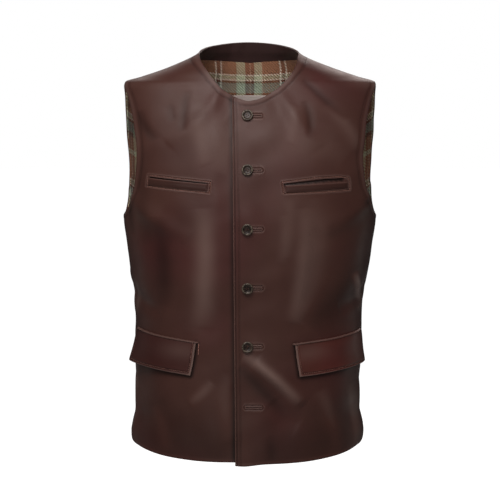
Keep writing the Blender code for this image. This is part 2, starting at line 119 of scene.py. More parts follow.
floor_mesh = bmesh.new()
bmesh.ops.create_grid(floor_mesh, x_segments=1, y_segments=1, size=12, matrix=Matrix.Translation((0, 0, FLOOR)))
mesh = bpy.data.meshes.new("floor")
floor_mesh.to_mesh(mesh)
floor = bpy.data.objects.new("floor", mesh)
scene.collection.objects.link(floor)
floor_paint, tree, painted = new_finish("pale_floor")
looked_at = node(tree, "LightPath")["Is Camera Ray"]
feed(tree, painted, Base_Color=(0.5, 0.5, 0.5, 1), Roughness=0.9)
feed(tree, painted, Emission_Color=(1, 1, 1, 1), Emission_Strength=looked_at)
floor.data.materials.append(floor_paint)

# The leather. Smooth dark brown hide with a wine cast, cut into panels and shaped by wear. One group gives every
# hide its mottling, pores and fine creases and paints highlight and shade into it, and each kind of hide has its
# own colours and shine.

# the greyish brown that a tone over 0 blends in, standing for a painted highlight
PAINTED_HIGHLIGHT_COLOUR = (0.230, 0.160, 0.140)
HIDE_SOCKETS = (
    ("INPUT", {"Point": "Vector", "Colour": "Color", "Deep": "Color", "Wine": "Color"}),
    ("INPUT", {"Shine": "Float", "Tone": "Float"}),
    ("OUTPUT", {"Colour": "Color", "Roughness": "Float", "Height": "Float"}),
)


def mixed(tree, share, first, second):
    """A share of the second colour in the first."""
    return node(tree, "Mix", data_type="RGBA", Factor=share, A=first, B=second)["Result"]


def hide_group():
    """Mottling, pores and creases of smooth leather from a point on it, and painted highlight and shade from its
    tone.
    """
    group = bpy.data.node_groups.new("hide", "ShaderNodeTree")
    for way, sockets in HIDE_SOCKETS:
        for name, kind in sockets.items():
            group.interface.new_socket(name, in_out=way, socket_type="NodeSocket" + kind)
    given = group.nodes.new("NodeGroupInput").outputs
    point = given["Point"]

    # clouds of wine red and of a deeper brown, then painted light: a painted highlight where the tone is over 0
    # and painted shade under it
    elsewhere = node(group, "VectorMath", operation="ADD", _0=point, _1=(3.1, 1.7, 0.4))
    patch = node(group, "TexNoise", Vector=elsewhere[0], Scale=5.0, Detail=2.0, Roughness=0.5)
    wine_share = node(group, "MapRange", Value=patch["Fac"], From_Min=0.48, From_Max=0.68)
    toned = mixed(group, wine_share["Result"], given["Colour"], given["Wine"])
    cloud = node(group, "TexNoise", Vector=point, Scale=9.0, Detail=3.0, Roughness=0.55)
    deep_share = node(group, "MapRange", Value=cloud["Fac"], From_Min=0.42, From_Max=0.72, To_Max=0.75)
    deepened = mixed(group, deep_share["Result"], toned, given["Deep"])
    pale_share = node(group, "MapRange", Value=given["Tone"], From_Max=2.0)
    paled = mixed(group, pale_share["Result"], deepened, (*PAINTED_HIGHLIGHT_COLOUR, 1))
    dim = node(group, "MapRange", Value=given["Tone"], From_Min=-1.0, From_Max=0.0, To_Min=0.22, To_Max=1.0)
    dimmed = node(group, "VectorMath", operation="SCALE", _0=paled, Scale=dim["Result"])

    # pores, a little out of line, between fine creases
    stray = node(group, "TexNoise", Vector=point, Scale=160.0, Detail=2.0)
    bent = node(group, "VectorMath", operation="MULTIPLY_ADD", _0=stray["Color"], _1=(0.004,) * 3, _2=point)
    pores = node(group, "TexVoronoi", feature="F1", Vector=bent[0], Scale=950.0)
    crease = node(group, "TexNoise", Vector=point, Scale=70.0, Detail=5.0, Roughness=0.62, Distortion=0.6)
    height = node(group, "Math", operation="MULTIPLY_ADD", _0=pores["Distance"], _1=0.35, _2=crease["Fac"])

    # duller and shinier patches
    rubbed = node(group, "TexNoise", Vector=point, Scale=26.0, Detail=4.0, Roughness=0.6)
    spread = node(group, "MapRange", Value=rubbed["Fac"], From_Min=0.3, From_Max=0.7, To_Min=-0.06, To_Max=0.08)
    rough = node(group, "Math", operation="ADD", _0=spread["Result"], _1=given["Shine"])
    feed(group, group.nodes.new("NodeGroupOutput"), Colour=dimmed[0], Roughness=rough[0], Height=height[0])
    return group


HIDE = hide_group()


def leather(name, colour, deep, wine, shine):
    """One kind of hide, with the group's patterns on the piece's own place and the piece's own painted highlight
    and shade.
    """
    made, tree, surface = new_finish(name)
    hide = tree.nodes.new("ShaderNodeGroup")
    hide.node_tree = HIDE
    painted_light_tone = node(tree, "Attribute", attribute_name="tone")
    feed(tree, hide, Point=node(tree, "TexCoord")["Object"], Shine=shine, Tone=painted_light_tone["Fac"])
    feed(tree, hide, Colour=(*colour, 1), Deep=(*deep, 1), Wine=(*wine, 1))
    bumped = node(tree, "Bump", Strength=0.15, Distance=0.0006, Height=hide.outputs["Height"])
    feed(tree, surface, Base_Color=hide.outputs["Colour"], Roughness=hide.outputs["Roughness"])
    feed(tree, surface, Specular_IOR_Level=0.28, Normal=bumped["Normal"])
    return made


panel_hide = leather("panel_hide", (0.074, 0.033, 0.026), (0.052, 0.021, 0.017), (0.076, 0.025, 0.023), 0.46)

# The lining's cloth. A checked wool, rust brown with cream, sage and teal lines, woven in a twill. Its stripes
# are laid out in metres on the map of each cut.

CREAM, RUST, SAGE, TEAL, UMBER, BRICK, ROSE = (
    (0.98, 0.92, 0.78),
    (0.360, 0.170, 0.090),
    (0.550, 0.610, 0.420),
    (0.200, 0.345, 0.310),
    (0.090, 0.045, 0.028),
    (0.210, 0.075, 0.042),
    (0.620, 0.420, 0.300),
)
WARP_REPEAT, WARP_START = 0.107, -0.0518
WARP = [
    (0.0000, BRICK), (0.0031, CREAM), (0.0060, RUST), (0.0300, SAGE), (0.0443, BRICK), (0.0516, ROSE),
    (0.0530, BRICK), (0.0588, SAGE), (0.0716, ROSE), (0.0731, RUST), (0.1010, CREAM), (0.1039, BRICK),
]
WEFT_REPEAT, WEFT_START = 0.107, -0.0489
WEFT = [
    (0.0000, TEAL), (0.0161, UMBER), (0.0200, CREAM), (0.0222, SAGE), (0.0284, CREAM),
    (0.0306, RUST), (0.0700, SAGE), (0.0780, RUST), (0.1000, UMBER),
]
THREAD = 0.0012

def stripes(tree, along_cloth, repeat, start, bands):
    """The colour of the threads that lie side by side along one way of the cloth."""
    moved = node(tree, "Math", operation="SUBTRACT", _0=along_cloth, _1=start)
    share = node(tree, "Math", operation="DIVIDE", _0=moved[0], _1=repeat)
    part = node(tree, "Math", operation="FRACT", _0=share[0])
    ramp = tree.nodes.new("ShaderNodeValToRGB")
    ramp.color_ramp.interpolation = "CONSTANT"
    for number, (position, colour) in enumerate(bands):
        known = ramp.color_ramp.elements
        stop = known[number] if number < 2 else known.new(position / repeat)
        stop.position = position / repeat
        stop.color = (*colour, 1)
    feed(tree, ramp, Fac=part[0])
    return ramp.outputs["Color"]


def checked_wool():
    """A fuzzy twill, woven from the two rows of stripes on the map of the cut."""
    made, tree, surface = new_finish("checked_wool_cloth")
    cut = node(tree, "UVMap", uv_map="flat_cut")["UV"]
    fuzz = node(tree, "TexNoise", Vector=cut, Scale=520.0, Detail=3.0)
    stray = node(tree, "VectorMath", operation="MULTIPLY_ADD", _0=fuzz["Color"], _1=(0.0005, 0.0005, 0), _2=cut)
    ways = node(tree, "SeparateXYZ", _0=stray[0])
    warp = stripes(tree, ways["X"], WARP_REPEAT, WARP_START, WARP)
    weft = stripes(tree, ways["Y"], WEFT_REPEAT, WEFT_START, WEFT)
    steps = [node(tree, "Math", operation="DIVIDE", _0=ways[way], _1=THREAD)[0] for way in ("X", "Y")]
    slant = node(tree, "Math", operation="ADD", _0=steps[0], _1=steps[1])
    wale = node(tree, "Math", operation="PINGPONG", _0=slant[0], _1=2.0)
    over = node(tree, "MapRange", Value=wale[0], From_Min=0.7, From_Max=1.3, To_Min=0.10, To_Max=0.90)
    woven = mixed(tree, over["Result"], warp, weft)
    depth = node(tree, "MapRange", Value=fuzz["Fac"], From_Min=0.3, From_Max=0.7, To_Min=0.5, To_Max=1.6)
    tufted = node(tree, "VectorMath", operation="SCALE", _0=woven, Scale=depth["Result"])
    raised = node(tree, "Math", operation="ADD", _0=wale[0], _1=fuzz["Fac"])
    bumped = node(tree, "Bump", Strength=0.6, Distance=0.0004, Height=raised[0])
    feed(tree, surface, Roughness=0.95, Sheen_Weight=0.25, Base_Color=tufted[0], Normal=bumped["Normal"])
    return made


wool = checked_wool()
facing_hide = leather("facing_hide", (0.050, 0.028, 0.027), (0.036, 0.020, 0.019), (0.048, 0.024, 0.023), 0.55)

# The fronts. Two leather panels with turned and stitched edges, joined to the back at the shoulders and sides.
# The wearer's left laps over the right. The shape is the worn one: rings of a body, with folds and pulls on it.

FRONT_WALL, BACK_WALL, LINING_WALL = 0.0020, 0.0014, 0.0010
GAP, LAYER_GAP = 0.0003, 0.0006
ARMPIT, TIP, NECK_POINT, BACK_NECK, FRONT_NECK = -0.238, -0.028, 0.019, 0.033, -0.054
SIDE_HEM, BACK_HEM, VENT_TOP, CHEST_LINE = -0.587, -0.606, -0.542, -0.230
FRONT_CENTRE = -0.004
Front = namedtuple("Front", "edge_at_neck edge_at_hem hem dip")
LEFT = Front(-0.027, -0.023, -0.6135, 0.0035)
RIGHT = Front(-0.027, -0.027, -0.6110, 0.0)

Ring = namedtuple("Ring", "height half_width front back squareness middle")
RINGS = [
    Ring(-0.660, 0.188, 0.130, 0.116, 2.45, -0.004),
    Ring(-0.587, 0.188, 0.128, 0.114, 2.45, -0.004),
    Ring(-0.540, 0.179, 0.126, 0.110, 2.45, -0.004),
    Ring(-0.450, 0.181, 0.124, 0.104, 2.45, -0.003),
    Ring(-0.384, 0.182, 0.125, 0.102, 2.45, -0.002),
    Ring(-0.310, 0.192, 0.130, 0.109, 2.45, -0.001),
    Ring(-0.238, 0.200, 0.132, 0.117, 2.55, 0.000),
    Ring(-0.170, 0.204, 0.124, 0.120, 2.60, 0.000),
    Ring(-0.110, 0.205, 0.108, 0.116, 2.60, 0.000),
    Ring(-0.060, 0.203, 0.089, 0.104, 2.50, 0.000),
    Ring(-0.037, 0.201, 0.080, 0.095, 2.40, 0.000),
    Ring(-0.028, 0.196, 0.076, 0.090, 2.30, 0.000),
    Ring(-0.020, 0.171, 0.073, 0.086, 2.20, 0.000),
    Ring(-0.010, 0.141, 0.070, 0.081, 2.15, 0.000),
    Ring(0.000, 0.115, 0.066, 0.077, 2.10, -0.001),
    Ring(0.010, 0.092, 0.062, 0.073, 2.10, -0.002),
    Ring(0.019, 0.078, 0.058, 0.069, 2.10, -0.002),
    Ring(0.050, 0.070, 0.050, 0.060, 2.10, -0.002),
]

# Folds and creases: a curve from start past bend to end, each an angle round the body and a height, with the
# half width and how far it stands out or, where negative, falls in.
Fold = namedtuple("Fold", "start bend end width rise")
FOLDS = [
    Fold((5, -0.453), (19, -0.482), (37, -0.521), 0.013, 0.0050),
    Fold((17, -0.515), (24, -0.540), (34, -0.555), 0.016, -0.0025),
    Fold((28, -0.035), (36, -0.085), (45, -0.125), 0.013, 0.0030),
    Fold((70, -0.200), (58, -0.235), (42, -0.250), 0.014, 0.0035),
    Fold((86, -0.340), (72, -0.362), (56, -0.372), 0.013, -0.0035),
    Fold((80, -0.500), (75, -0.550), (72, -0.600), 0.014, 0.0035),
    Fold((-26, -0.030), (-38, -0.085), (-52, -0.120), 0.014, 0.0030),
    Fold((-68, -0.200), (-54, -0.240), (-36, -0.262), 0.014, 0.0040),
    Fold((-86, -0.345), (-70, -0.366), (-54, -0.380), 0.013, -0.0035),
    Fold((-80, -0.490), (-76, -0.545), (-73, -0.600), 0.014, 0.0035),
    Fold((104, -0.190), (122, -0.225), (142, -0.240), 0.016, 0.0040),
    Fold((-104, -0.195), (-124, -0.222), (-145, -0.232), 0.016, 0.0040),
    Fold((98, -0.352), (122, -0.372), (150, -0.366), 0.015, -0.0035),
    Fold((-99, -0.348), (-120, -0.366), (-148, -0.372), 0.015, -0.0035),
    Fold((152, -0.400), (146, -0.480), (150, -0.585), 0.018, 0.0040),
    Fold((-150, -0.405), (-143, -0.490), (-146, -0.590), 0.018, 0.0040),
]
CREASES = [
    # the wearer's left shoulder and chest
    Fold((50, -0.022), (56, -0.048), (62, -0.084), 0.006, -0.0014),
    Fold((45, -0.054), (47, -0.080), (40, -0.112), 0.006, -0.0012),
    Fold((38, -0.060), (34, -0.090), (30, -0.118), 0.009, 0.0010),
    Fold((57, -0.060), (62, -0.090), (64, -0.130), 0.008, 0.0012),
    Fold((78, -0.190), (72, -0.205), (64, -0.214), 0.005, -0.0012),
    # the wearer's right shoulder and chest
    Fold((-52, -0.040), (-50, -0.072), (-46, -0.100), 0.006, -0.0012),
    Fold((-70, -0.070), (-66, -0.096), (-58, -0.114), 0.006, -0.0014),
    Fold((-58, -0.060), (-55, -0.074), (-53, -0.086), 0.005, -0.0008),
    Fold((-74, -0.130), (-73, -0.190), (-70, -0.262), 0.007, -0.0016),
    Fold((-40, -0.080), (-36, -0.110), (-30, -0.150), 0.012, 0.0012),
    # long soft ridges down the body
    Fold((33, -0.215), (35, -0.300), (30, -0.392), 0.011, 0.0016),
    Fold((22, -0.225), (23, -0.262), (21, -0.300), 0.008, 0.0008),
    Fold((-30, -0.215), (-26, -0.300), (-30, -0.400), 0.016, 0.0018),
    Fold((-52, -0.230), (-50, -0.300), (-54, -0.372), 0.012, -0.0012),
    # the pinch at the wearer's left waist
    Fold((64, -0.322), (70, -0.346), (78, -0.366), 0.006, 0.0022),
    Fold((86, -0.350), (81, -0.368), (72, -0.384), 0.006, 0.0012),
    Fold((-82, -0.322), (-80, -0.350), (-82, -0.392), 0.004, 0.0018),
    # below the flaps and along the hem
    Fold((-38, -0.520), (-30, -0.506), (-24, -0.486), 0.008, 0.0014),
    Fold((-60, -0.530), (-52, -0.560), (-50, -0.600), 0.010, 0.0010),
    Fold((46, -0.500), (54, -0.540), (56, -0.600), 0.010, 0.0012),
    Fold((14, -0.570), (18, -0.590), (16, -0.612), 0.010, -0.0008),
    Fold((-14, -0.470), (-18, -0.520), (-13, -0.580), 0.012, 0.0009),
    Fold((-4, -0.443), (15, -0.462), (34, -0.518), 0.008, 0.0018),
    Fold((-6, -0.460), (6, -0.486), (26, -0.534), 0.009, -0.0008),
    # the back: across the shoulder blades, the small of the back and the skirt
    Fold((118, -0.080), (138, -0.112), (160, -0.120), 0.010, -0.0014),
    Fold((-120, -0.078), (-140, -0.108), (-162, -0.124), 0.010, -0.0014),
    Fold((100, -0.250), (115, -0.270), (135, -0.268), 0.008, 0.0014),
    Fold((-100, -0.244), (-112, -0.262), (-130, -0.270), 0.008, 0.0014),
    Fold((102, -0.395), (126, -0.412), (158, -0.402), 0.009, 0.0016),
    Fold((-101, -0.388), (-124, -0.404), (-150, -0.410), 0.009, 0.0016),
    Fold((140, -0.335), (150, -0.344), (160, -0.340), 0.008, -0.0010),
    Fold((128, -0.450), (124, -0.520), (130, -0.600), 0.012, -0.0014),
    Fold((-126, -0.448), (-121, -0.525), (-125, -0.598), 0.012, -0.0014),
    Fold((164, -0.470), (168, -0.530), (164, -0.600), 0.010, 0.0010),
]
# Patches and streaks of painted highlight or, where negative, painted shade. The last number is how much.
PAINTED_LIGHT_PATCHES = [
    # the wearer's left: two pale bands down the body, a dark hollow at the waist and the pale pinch in it
    Fold((37, -0.200), (44, -0.300), (32, -0.395), 0.016, 0.45),
    Fold((25, -0.200), (26, -0.245), (24, -0.290), 0.008, 0.30),
    Fold((74, -0.300), (56, -0.355), (40, -0.402), 0.022, -0.50),
    Fold((63, -0.318), (68, -0.346), (76, -0.368), 0.0060, 1.20),
    Fold((86, -0.350), (81, -0.368), (72, -0.384), 0.0070, 0.30),
    Fold((20, -0.130), (42, -0.105), (58, -0.140), 0.020, 0.25),
    Fold((89, -0.028), (78, -0.018), (72, 0.006), 0.018, 0.80),
    # the wearer's right: a pale chest and a pale line at the waist, with painted shade between
    Fold((-36, -0.080), (-16, -0.130), (-22, -0.160), 0.022, 0.30),
    Fold((-89, -0.028), (-79, -0.018), (-72, 0.006), 0.016, 0.25),
    Fold((-28, -0.215), (-26, -0.310), (-36, -0.410), 0.014, 0.35),
    Fold((-57, -0.235), (-54, -0.290), (-49, -0.340), 0.024, -0.24),
    Fold((-64, -0.120), (-59, -0.200), (-60, -0.275), 0.010, -0.30),
    Fold((-72, -0.335), (-75, -0.362), (-77, -0.392), 0.007, 0.70),
    # under the last button and along the hem
    Fold((-4, -0.443), (15, -0.462), (34, -0.518), 0.0085, 0.55),
    Fold((-7, -0.462), (6, -0.488), (28, -0.540), 0.012, -0.35),
    Fold((-74, -0.560), (-35, -0.575), (-4, -0.590), 0.050, -0.50),
    Fold((2, -0.610), (45, -0.585), (72, -0.560), 0.042, -0.45),
    Fold((-82, -0.448), (-74, -0.478), (-80, -0.530), 0.007, 1.00),
    Fold((-80, -0.520), (-76, -0.555), (-79, -0.600), 0.008, 0.55),
    Fold((68, -0.500), (71, -0.550), (68, -0.605), 0.008, 0.55),
    # the back: pale shoulder blades and a dark small of the back
    Fold((120, -0.100), (145, -0.130), (168, -0.190), 0.030, 0.30),
    Fold((-120, -0.100), (-145, -0.130), (-168, -0.190), 0.030, 0.30),
    Fold((110, -0.380), (140, -0.400), (172, -0.380), 0.020, -0.40),
    Fold((-110, -0.380), (-140, -0.400), (-172, -0.380), 0.020, -0.40),
]
# relief heights that paint the palest highlight and, where sunk as deep, the darkest shade
FINE_FULL_TONE, CREASE_FULL_TONE = 0.0007, 0.0028  # metres of height for the palest
FOLD_STEPS = 8
ARC = 0.0026  # metres round the body for each degree, on the flat cut

RIPPLE = 0.00028
chance = np.random.default_rng(11)
RIPPLES = [
    (np.array([np.cos(turn), np.sin(turn)]) * 2 * np.pi / length, phase, length)
    for turn, phase, length in zip(
        chance.uniform(0, np.pi, 14), chance.uniform(0, 2 * np.pi, 14), chance.uniform(0.035, 0.11, 14)
    )
]


def column(name, height):
    """One column of RINGS at any height, on a smooth curve that never overshoots its rows."""
    heights = np.array([ring.height for ring in RINGS])
    values = np.array([getattr(ring, name) for ring in RINGS])
    steps = np.diff(heights)
    rates = np.diff(values) / steps
    product = rates[:-1] * rates[1:]
    total = np.where(product > 0, rates[:-1] + rates[1:], 1.0)
    inner = np.where(product > 0, 2 * product / total, 0.0)
    slopes = np.concatenate([rates[:1], inner, rates[-1:]])
    row = np.clip(np.searchsorted(heights, height) - 1, 0, len(steps) - 1)
    t = (height - heights[row]) / steps[row]
    low = values[row] * (1 + 2 * t) * (1 - t) ** 2 + slopes[row] * steps[row] * t * (1 - t) ** 2
    high = values[row + 1] * t**2 * (3 - 2 * t) + slopes[row + 1] * steps[row] * t**2 * (t - 1)
    return low + high


def lift_of(fold, across, height):
    """How far one fold lifts the points near it."""
    ends = np.array([fold.start, fold.bend, fold.end]) * [ARC, 1]
    t = np.linspace(0, 1, FOLD_STEPS + 1)[:, None]
    path = (1 - t) ** 2 * ends[0] + 2 * t * (1 - t) * ends[1] + t**2 * ends[2]
    nearest = np.full(across.shape, np.inf)
    along = np.zeros(across.shape)
    for step, (a, b) in enumerate(zip(path[:-1], path[1:])):
        run = b - a
        away = np.stack([across - a[0], height - a[1]], axis=-1)
        share = np.clip((away @ run) / (run @ run), 0, 1)
        gap = np.linalg.norm(away - share[..., None] * run, axis=-1)
        along = np.where(gap < nearest, (step + share) / FOLD_STEPS, along)
        nearest = np.minimum(gap, nearest)
    taper = np.sqrt(np.clip(4 * along * (1 - along), 0, 1))
    return fold.rise * taper * np.exp(-((nearest / fold.width) ** 2))


def lifted(folds, across, height):
    """How far folds lift points on the flat cut, all together."""
    across, height = np.broadcast_arrays(across, height)
    out = np.zeros(across.shape)
    for fold in folds:
        ends = np.array([fold.start, fold.bend, fold.end]) * [ARC, 1]
        low, high = ends.min(axis=0) - 3 * fold.width, ends.max(axis=0) + 3 * fold.width
        near = (across > low[0]) & (across < high[0]) & (height > low[1]) & (height < high[1])
        if near.any():
            out[near] += lift_of(fold, across[near], height[near])
    return out


def relief(angle, height):
    """How far folds, creases and a slight waviness push the leather out."""
    across = ((angle + 180) % 360 - 180) * ARC
    out = lifted(FOLDS + CREASES, across, height)
    fade = np.clip((180 * ARC - np.abs(across)) / 0.03, 0, 1)
    for wave, phase, length in RIPPLES:
        out += fade * RIPPLE * length / 0.11 * np.sin(across * wave[0] + height * wave[1] + phase)
    return out


def form(angle, height):
    """The waistcoat's outer face at an angle round it, 0 at the front centre and 90 at the wearer's left."""
    turn = np.radians(angle)
    across, ahead = np.sin(turn), np.cos(turn)
    depth = np.where(ahead > 0, column("front", height), column("back", height))
    power = column("squareness", height)
    reach = np.abs(across / column("half_width", height)) ** power + np.abs(ahead / depth) ** power
    reach = reach ** (-1 / power) + relief(angle, height)
    return np.stack([column("middle", height) + across * reach, -ahead * reach, height + 0 * reach], axis=-1)


def place(angle, height, out=0.0):
    """A point at a distance outside the form's face, or inside it where out is negative, and its normal."""
    turn, lift = 0.2, 0.0008
    round_body = form(angle + turn, height) - form(angle - turn, height)
    upwards = form(angle, height + lift) - form(angle, height - lift)
    normal = np.cross(round_body, upwards)
    normal = normal / np.linalg.norm(normal, axis=-1, keepdims=True)
    return form(angle, height) + normal * np.asarray(out)[..., None], normal


def angle_at_side(across, height):
    """The angle of the front's point at a distance across from the middle."""
    power = column("squareness", height)
    across = across - column("middle", height)
    share = np.abs(across / column("half_width", height)) ** power
    ahead = column("front", height) * (1 - share) ** (1 / power)
    return np.degrees(np.arctan2(across, ahead))


def angle_at_depth(ahead, height):
    """The angle, from 0 to 180, of the point on the wearer's left at a distance ahead of the shoulders."""
    power = column("squareness", height)
    depth = column("front" if ahead > 0 else "back", height)
    across = column("half_width", height) * (1 - np.abs(ahead / depth) ** power) ** (1 / power)
    return np.degrees(np.arctan2(across, ahead))


ARMHOLE_FRONT, ARMHOLE_BACK, ARMHOLE_SCOOP, ARMHOLE_FULLNESS = 0.076, 0.048, 0.30, 0.85
NECK_CENTRE, NECK_POWER = -0.002, 1.65
VENT_OPEN = (3.0, 1.5)
HEM_CURVE = 3
DIP_AT, DIP_SPREAD = -3, 10


def seam_turn(height):
    """Half the seam's gap, as an angle."""
    return np.degrees(GAP / 2 / column("half_width", height))


def side_seam(share, behind):
    """Up the side from the hem to the armpit, on the front's side of the seam or on the back's."""
    height = SIDE_HEM + (ARMPIT - SIDE_HEM) * share
    open_share = max(0.0, (VENT_TOP - height) / (VENT_TOP - SIDE_HEM))
    opened = seam_turn(height) + VENT_OPEN[behind] * open_share**2
    return 90 + opened if behind else 90 - opened, height


def armhole(share, behind):
    """Up from the armpit to the shoulder's tip."""
    turn = np.pi * share
    height = (ARMPIT + TIP) / 2 - (TIP - ARMPIT) / 2 * np.cos(turn)
    reach = ARMHOLE_BACK if behind else ARMHOLE_FRONT
    ahead = reach * abs(np.sin(turn)) ** ARMHOLE_FULLNESS * (1 + ARMHOLE_SCOOP * np.cos(turn))
    if behind:
        return angle_at_depth(-ahead, height) + seam_turn(height), height
    return angle_at_depth(ahead, height) - seam_turn(height), height


def front_neck(share, front):
    """From the free edge's top round to the neck point."""
    reach = column("half_width", NECK_POINT)
    start = -np.arcsin(abs((front.edge_at_neck - NECK_CENTRE) / reach) ** (NECK_POWER / 2))
    turn = start + (np.pi / 2 - start) * share
    across = NECK_CENTRE + np.sign(turn) * reach * np.abs(np.sin(turn)) ** (2 / NECK_POWER)
    height = FRONT_NECK + (NECK_POINT - FRONT_NECK) * (1 - np.cos(turn) ** (2 / NECK_POWER))
    if share > 0.999:
        return 90 - seam_turn(NECK_POINT), NECK_POINT
    return angle_at_side(across, height), height


def front_hem(share, front):
    """From the free edge's foot round to the side."""
    start = angle_at_side(front.edge_at_hem, front.hem)
    end = side_seam(0.0, behind=False)[0]
    angle = start + (end - start) * share
    height = front.hem + (SIDE_HEM - front.hem) * abs(angle / end) ** HEM_CURVE
    return angle, height - front.dip * np.exp(-(((angle - DIP_AT) / DIP_SPREAD) ** 2))


def edge_across(front, height):
    """How far across a front's free edge lies at a height."""
    rise = (height - front.hem) / (FRONT_NECK - front.hem)
    return front.edge_at_hem + (front.edge_at_neck - front.edge_at_hem) * rise


def free_edge(front, share, low, high):
    """Up a front's free edge, between two heights."""
    height = low + (high - low) * share
    return angle_at_side(edge_across(front, height), height), height


def along(rise, stretches):
    """Follows stretches one after another. Each is (its share of the whole, curve)."""
    row = rise * sum(rows for rows, _ in stretches)
    for rows, curve in stretches:
        if row <= rows + 1e-6:
            return curve(min(1.0, row / rows))
        row -= rows
    return stretches[-1][1](1.0)


def crowded(count, at_ends, fine):
    """Shares from 0 to 1, with a number of fine steps at each end given in at_ends."""
    steps = np.ones(count)
    first, last = at_ends
    steps[:first] = fine
    steps[count - last :] = fine
    return np.concatenate([[0], np.cumsum(steps) / steps.sum()])


def cut_flat(columns, rows, inner, outer, hem):
    """A piece cut flat, x its way round and y its height, and its four edges as (angle, height)."""
    sheet = bmesh.new()
    bmesh.ops.create_grid(sheet, x_segments=len(columns) - 1, y_segments=len(rows) - 1, size=0.5)
    inner_edge = np.array([along(rise, inner) for rise in rows], float)
    outer_edge = np.array([along(rise, outer) for rise in rows], float)
    foot = np.array([hem(share) for share in columns], float)
    grid = np.array([vert.co for vert in sheet.verts]) + 0.5
    across = np.rint(grid[:, 0] * (len(columns) - 1)).astype(int)
    up = np.rint(grid[:, 1] * (len(rows) - 1)).astype(int)
    share, rise = columns[across][:, None], rows[up][:, None]
    bow = foot[across] - (1 - share) * foot[0] - share * foot[-1]
    points = (1 - share) * inner_edge[up] + share * outer_edge[up] + bow * (1 - rise) ** 3
    for vert, (angle, height) in zip(sheet.verts, points):
        vert.co = (angle * ARC, height, 0)
    return sheet, {"inner": inner_edge, "outer": outer_edge, "hem": foot}


def beside(path, points):
    """Each flat point's distance from a flat path, along it, and off it to the left of its run."""
    path, done = np.asarray(path, float), 0.0
    nearest = np.full(len(points), np.inf)
    along_it, off_it = np.zeros(len(points)), np.zeros(len(points))
    for a, b in zip(path[:-1], path[1:]):
        length = np.linalg.norm(b - a)
        way = (b - a) / length
        on = (points - a) @ way
        gap = np.linalg.norm(points - a - np.clip(on, 0, length)[:, None] * way, axis=-1)
        closer = gap < nearest
        nearest[closer], along_it[closer] = gap[closer], done + on[closer]
        off_it[closer] = ((points - a) @ [-way[1], way[0]])[closer]
        done += length
    return nearest, along_it, off_it


def distance_to(path, angle, height):
    """How far points lie from an edge's path of (angle, height), on the flat cut."""
    thinned = np.concatenate([path[:-1:3], path[-1:]]) * [ARC, 1]
    return beside(thinned, np.stack([angle * ARC, height], axis=-1))[0]


LAP_STITCH, EDGE_STITCH = 0.0098, 0.0076  # from an edge to its row of stitches


def thicken(sheet, wall):
    """Gives the flat sheet a second face, a wall's thickness up."""
    made = bmesh.ops.extrude_face_region(sheet, geom=sheet.faces[:])
    upper = [piece for piece in made["geom"] if isinstance(piece, bmesh.types.BMVert)]
    bmesh.ops.translate(sheet, verts=upper, vec=(0, 0, wall))


def round_rim(sheet, reach=0.0006, steps=2):
    """Rounds the edges between the thick flat sheet's two faces and its rim."""
    sheet.normal_update()
    corners = []
    for edge in sheet.edges:
        normals = [face.normal for face in edge.link_faces]
        square = len(normals) == 2 and abs(normals[0].dot(normals[1])) < 0.5
        if square and any(abs(normal.z) > 0.9 for normal in normals):
            corners.append(edge)
    bmesh.ops.bevel(
        sheet,
        geom=corners,
        offset=reach,
        segments=steps,
        profile=0.5,
        affect="EDGES",
        material=-1,
        clamp_overlap=True,
    )


def wrap(sheet, wall, inner_face, outer_face):
    """Lays the thick flat sheet round the form, between two distances out, and gives back its flat places."""
    flat = np.array([vert.co for vert in sheet.verts])
    angle, height = flat[:, 0] / ARC, flat[:, 1]
    inside, outside = inner_face(angle, height), outer_face(angle, height)
    points, _ = place(angle, height, inside + (outside - inside) * flat[:, 2] / wall)
    for vert, point in zip(sheet.verts, points):
        vert.co = point
    return flat


def painted_light_and_pull_up(flat, fine):
    """Painted highlight and shade at flat places, from the creases, the patches and the fine relief, with some
    of the paling that pull-up leather has on ridges: pale over 0, to 2, dark under it, to -1.
    """
    across = (flat[:, 0] + 180 * ARC) % (360 * ARC) - 180 * ARC
    light_and_pull_up = lifted(CREASES, across, flat[:, 1]) / CREASE_FULL_TONE + lifted(PAINTED_LIGHT_PATCHES, across, flat[:, 1])
    return np.clip(light_and_pull_up + fine / FINE_FULL_TONE, -1, 2)


def finished(name, sheet, materials, flat=None, tone=None):
    """A bmesh made into a smooth piece of the waistcoat, with its flat cut's map and its tone of painted
    highlight and shade.
    """
    bmesh.ops.recalc_face_normals(sheet, faces=sheet.faces[:])
    if sheet.calc_volume(signed=True) < 0:
        bmesh.ops.reverse_faces(sheet, faces=sheet.faces[:])
    mesh = bpy.data.meshes.new(name)
    sheet.to_mesh(mesh)
    sheet.free()
    if flat is not None:
        corners = np.empty(len(mesh.loops), dtype=np.int32)
        mesh.loops.foreach_get("vertex_index", corners)
        cut = mesh.uv_layers.new(name="flat_cut")
        cut.data.foreach_set("uv", flat[corners, :2].astype(np.float32).ravel())
    if tone is not None:
        mesh.attributes.new("tone", "FLOAT", "POINT").data.foreach_set("value", tone.astype(np.float32))
    for finish in materials:
        mesh.materials.append(finish)
    mesh.shade_smooth()
    mesh.set_sharp_from_angle(angle=np.radians(50))
    piece = bpy.data.objects.new(name, mesh)
    scene.collection.objects.link(piece)
    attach(piece, "root")
    return piece


def level(distance):
    """The same distance out all over."""
    return lambda angle, height: np.full(np.shape(angle), distance)


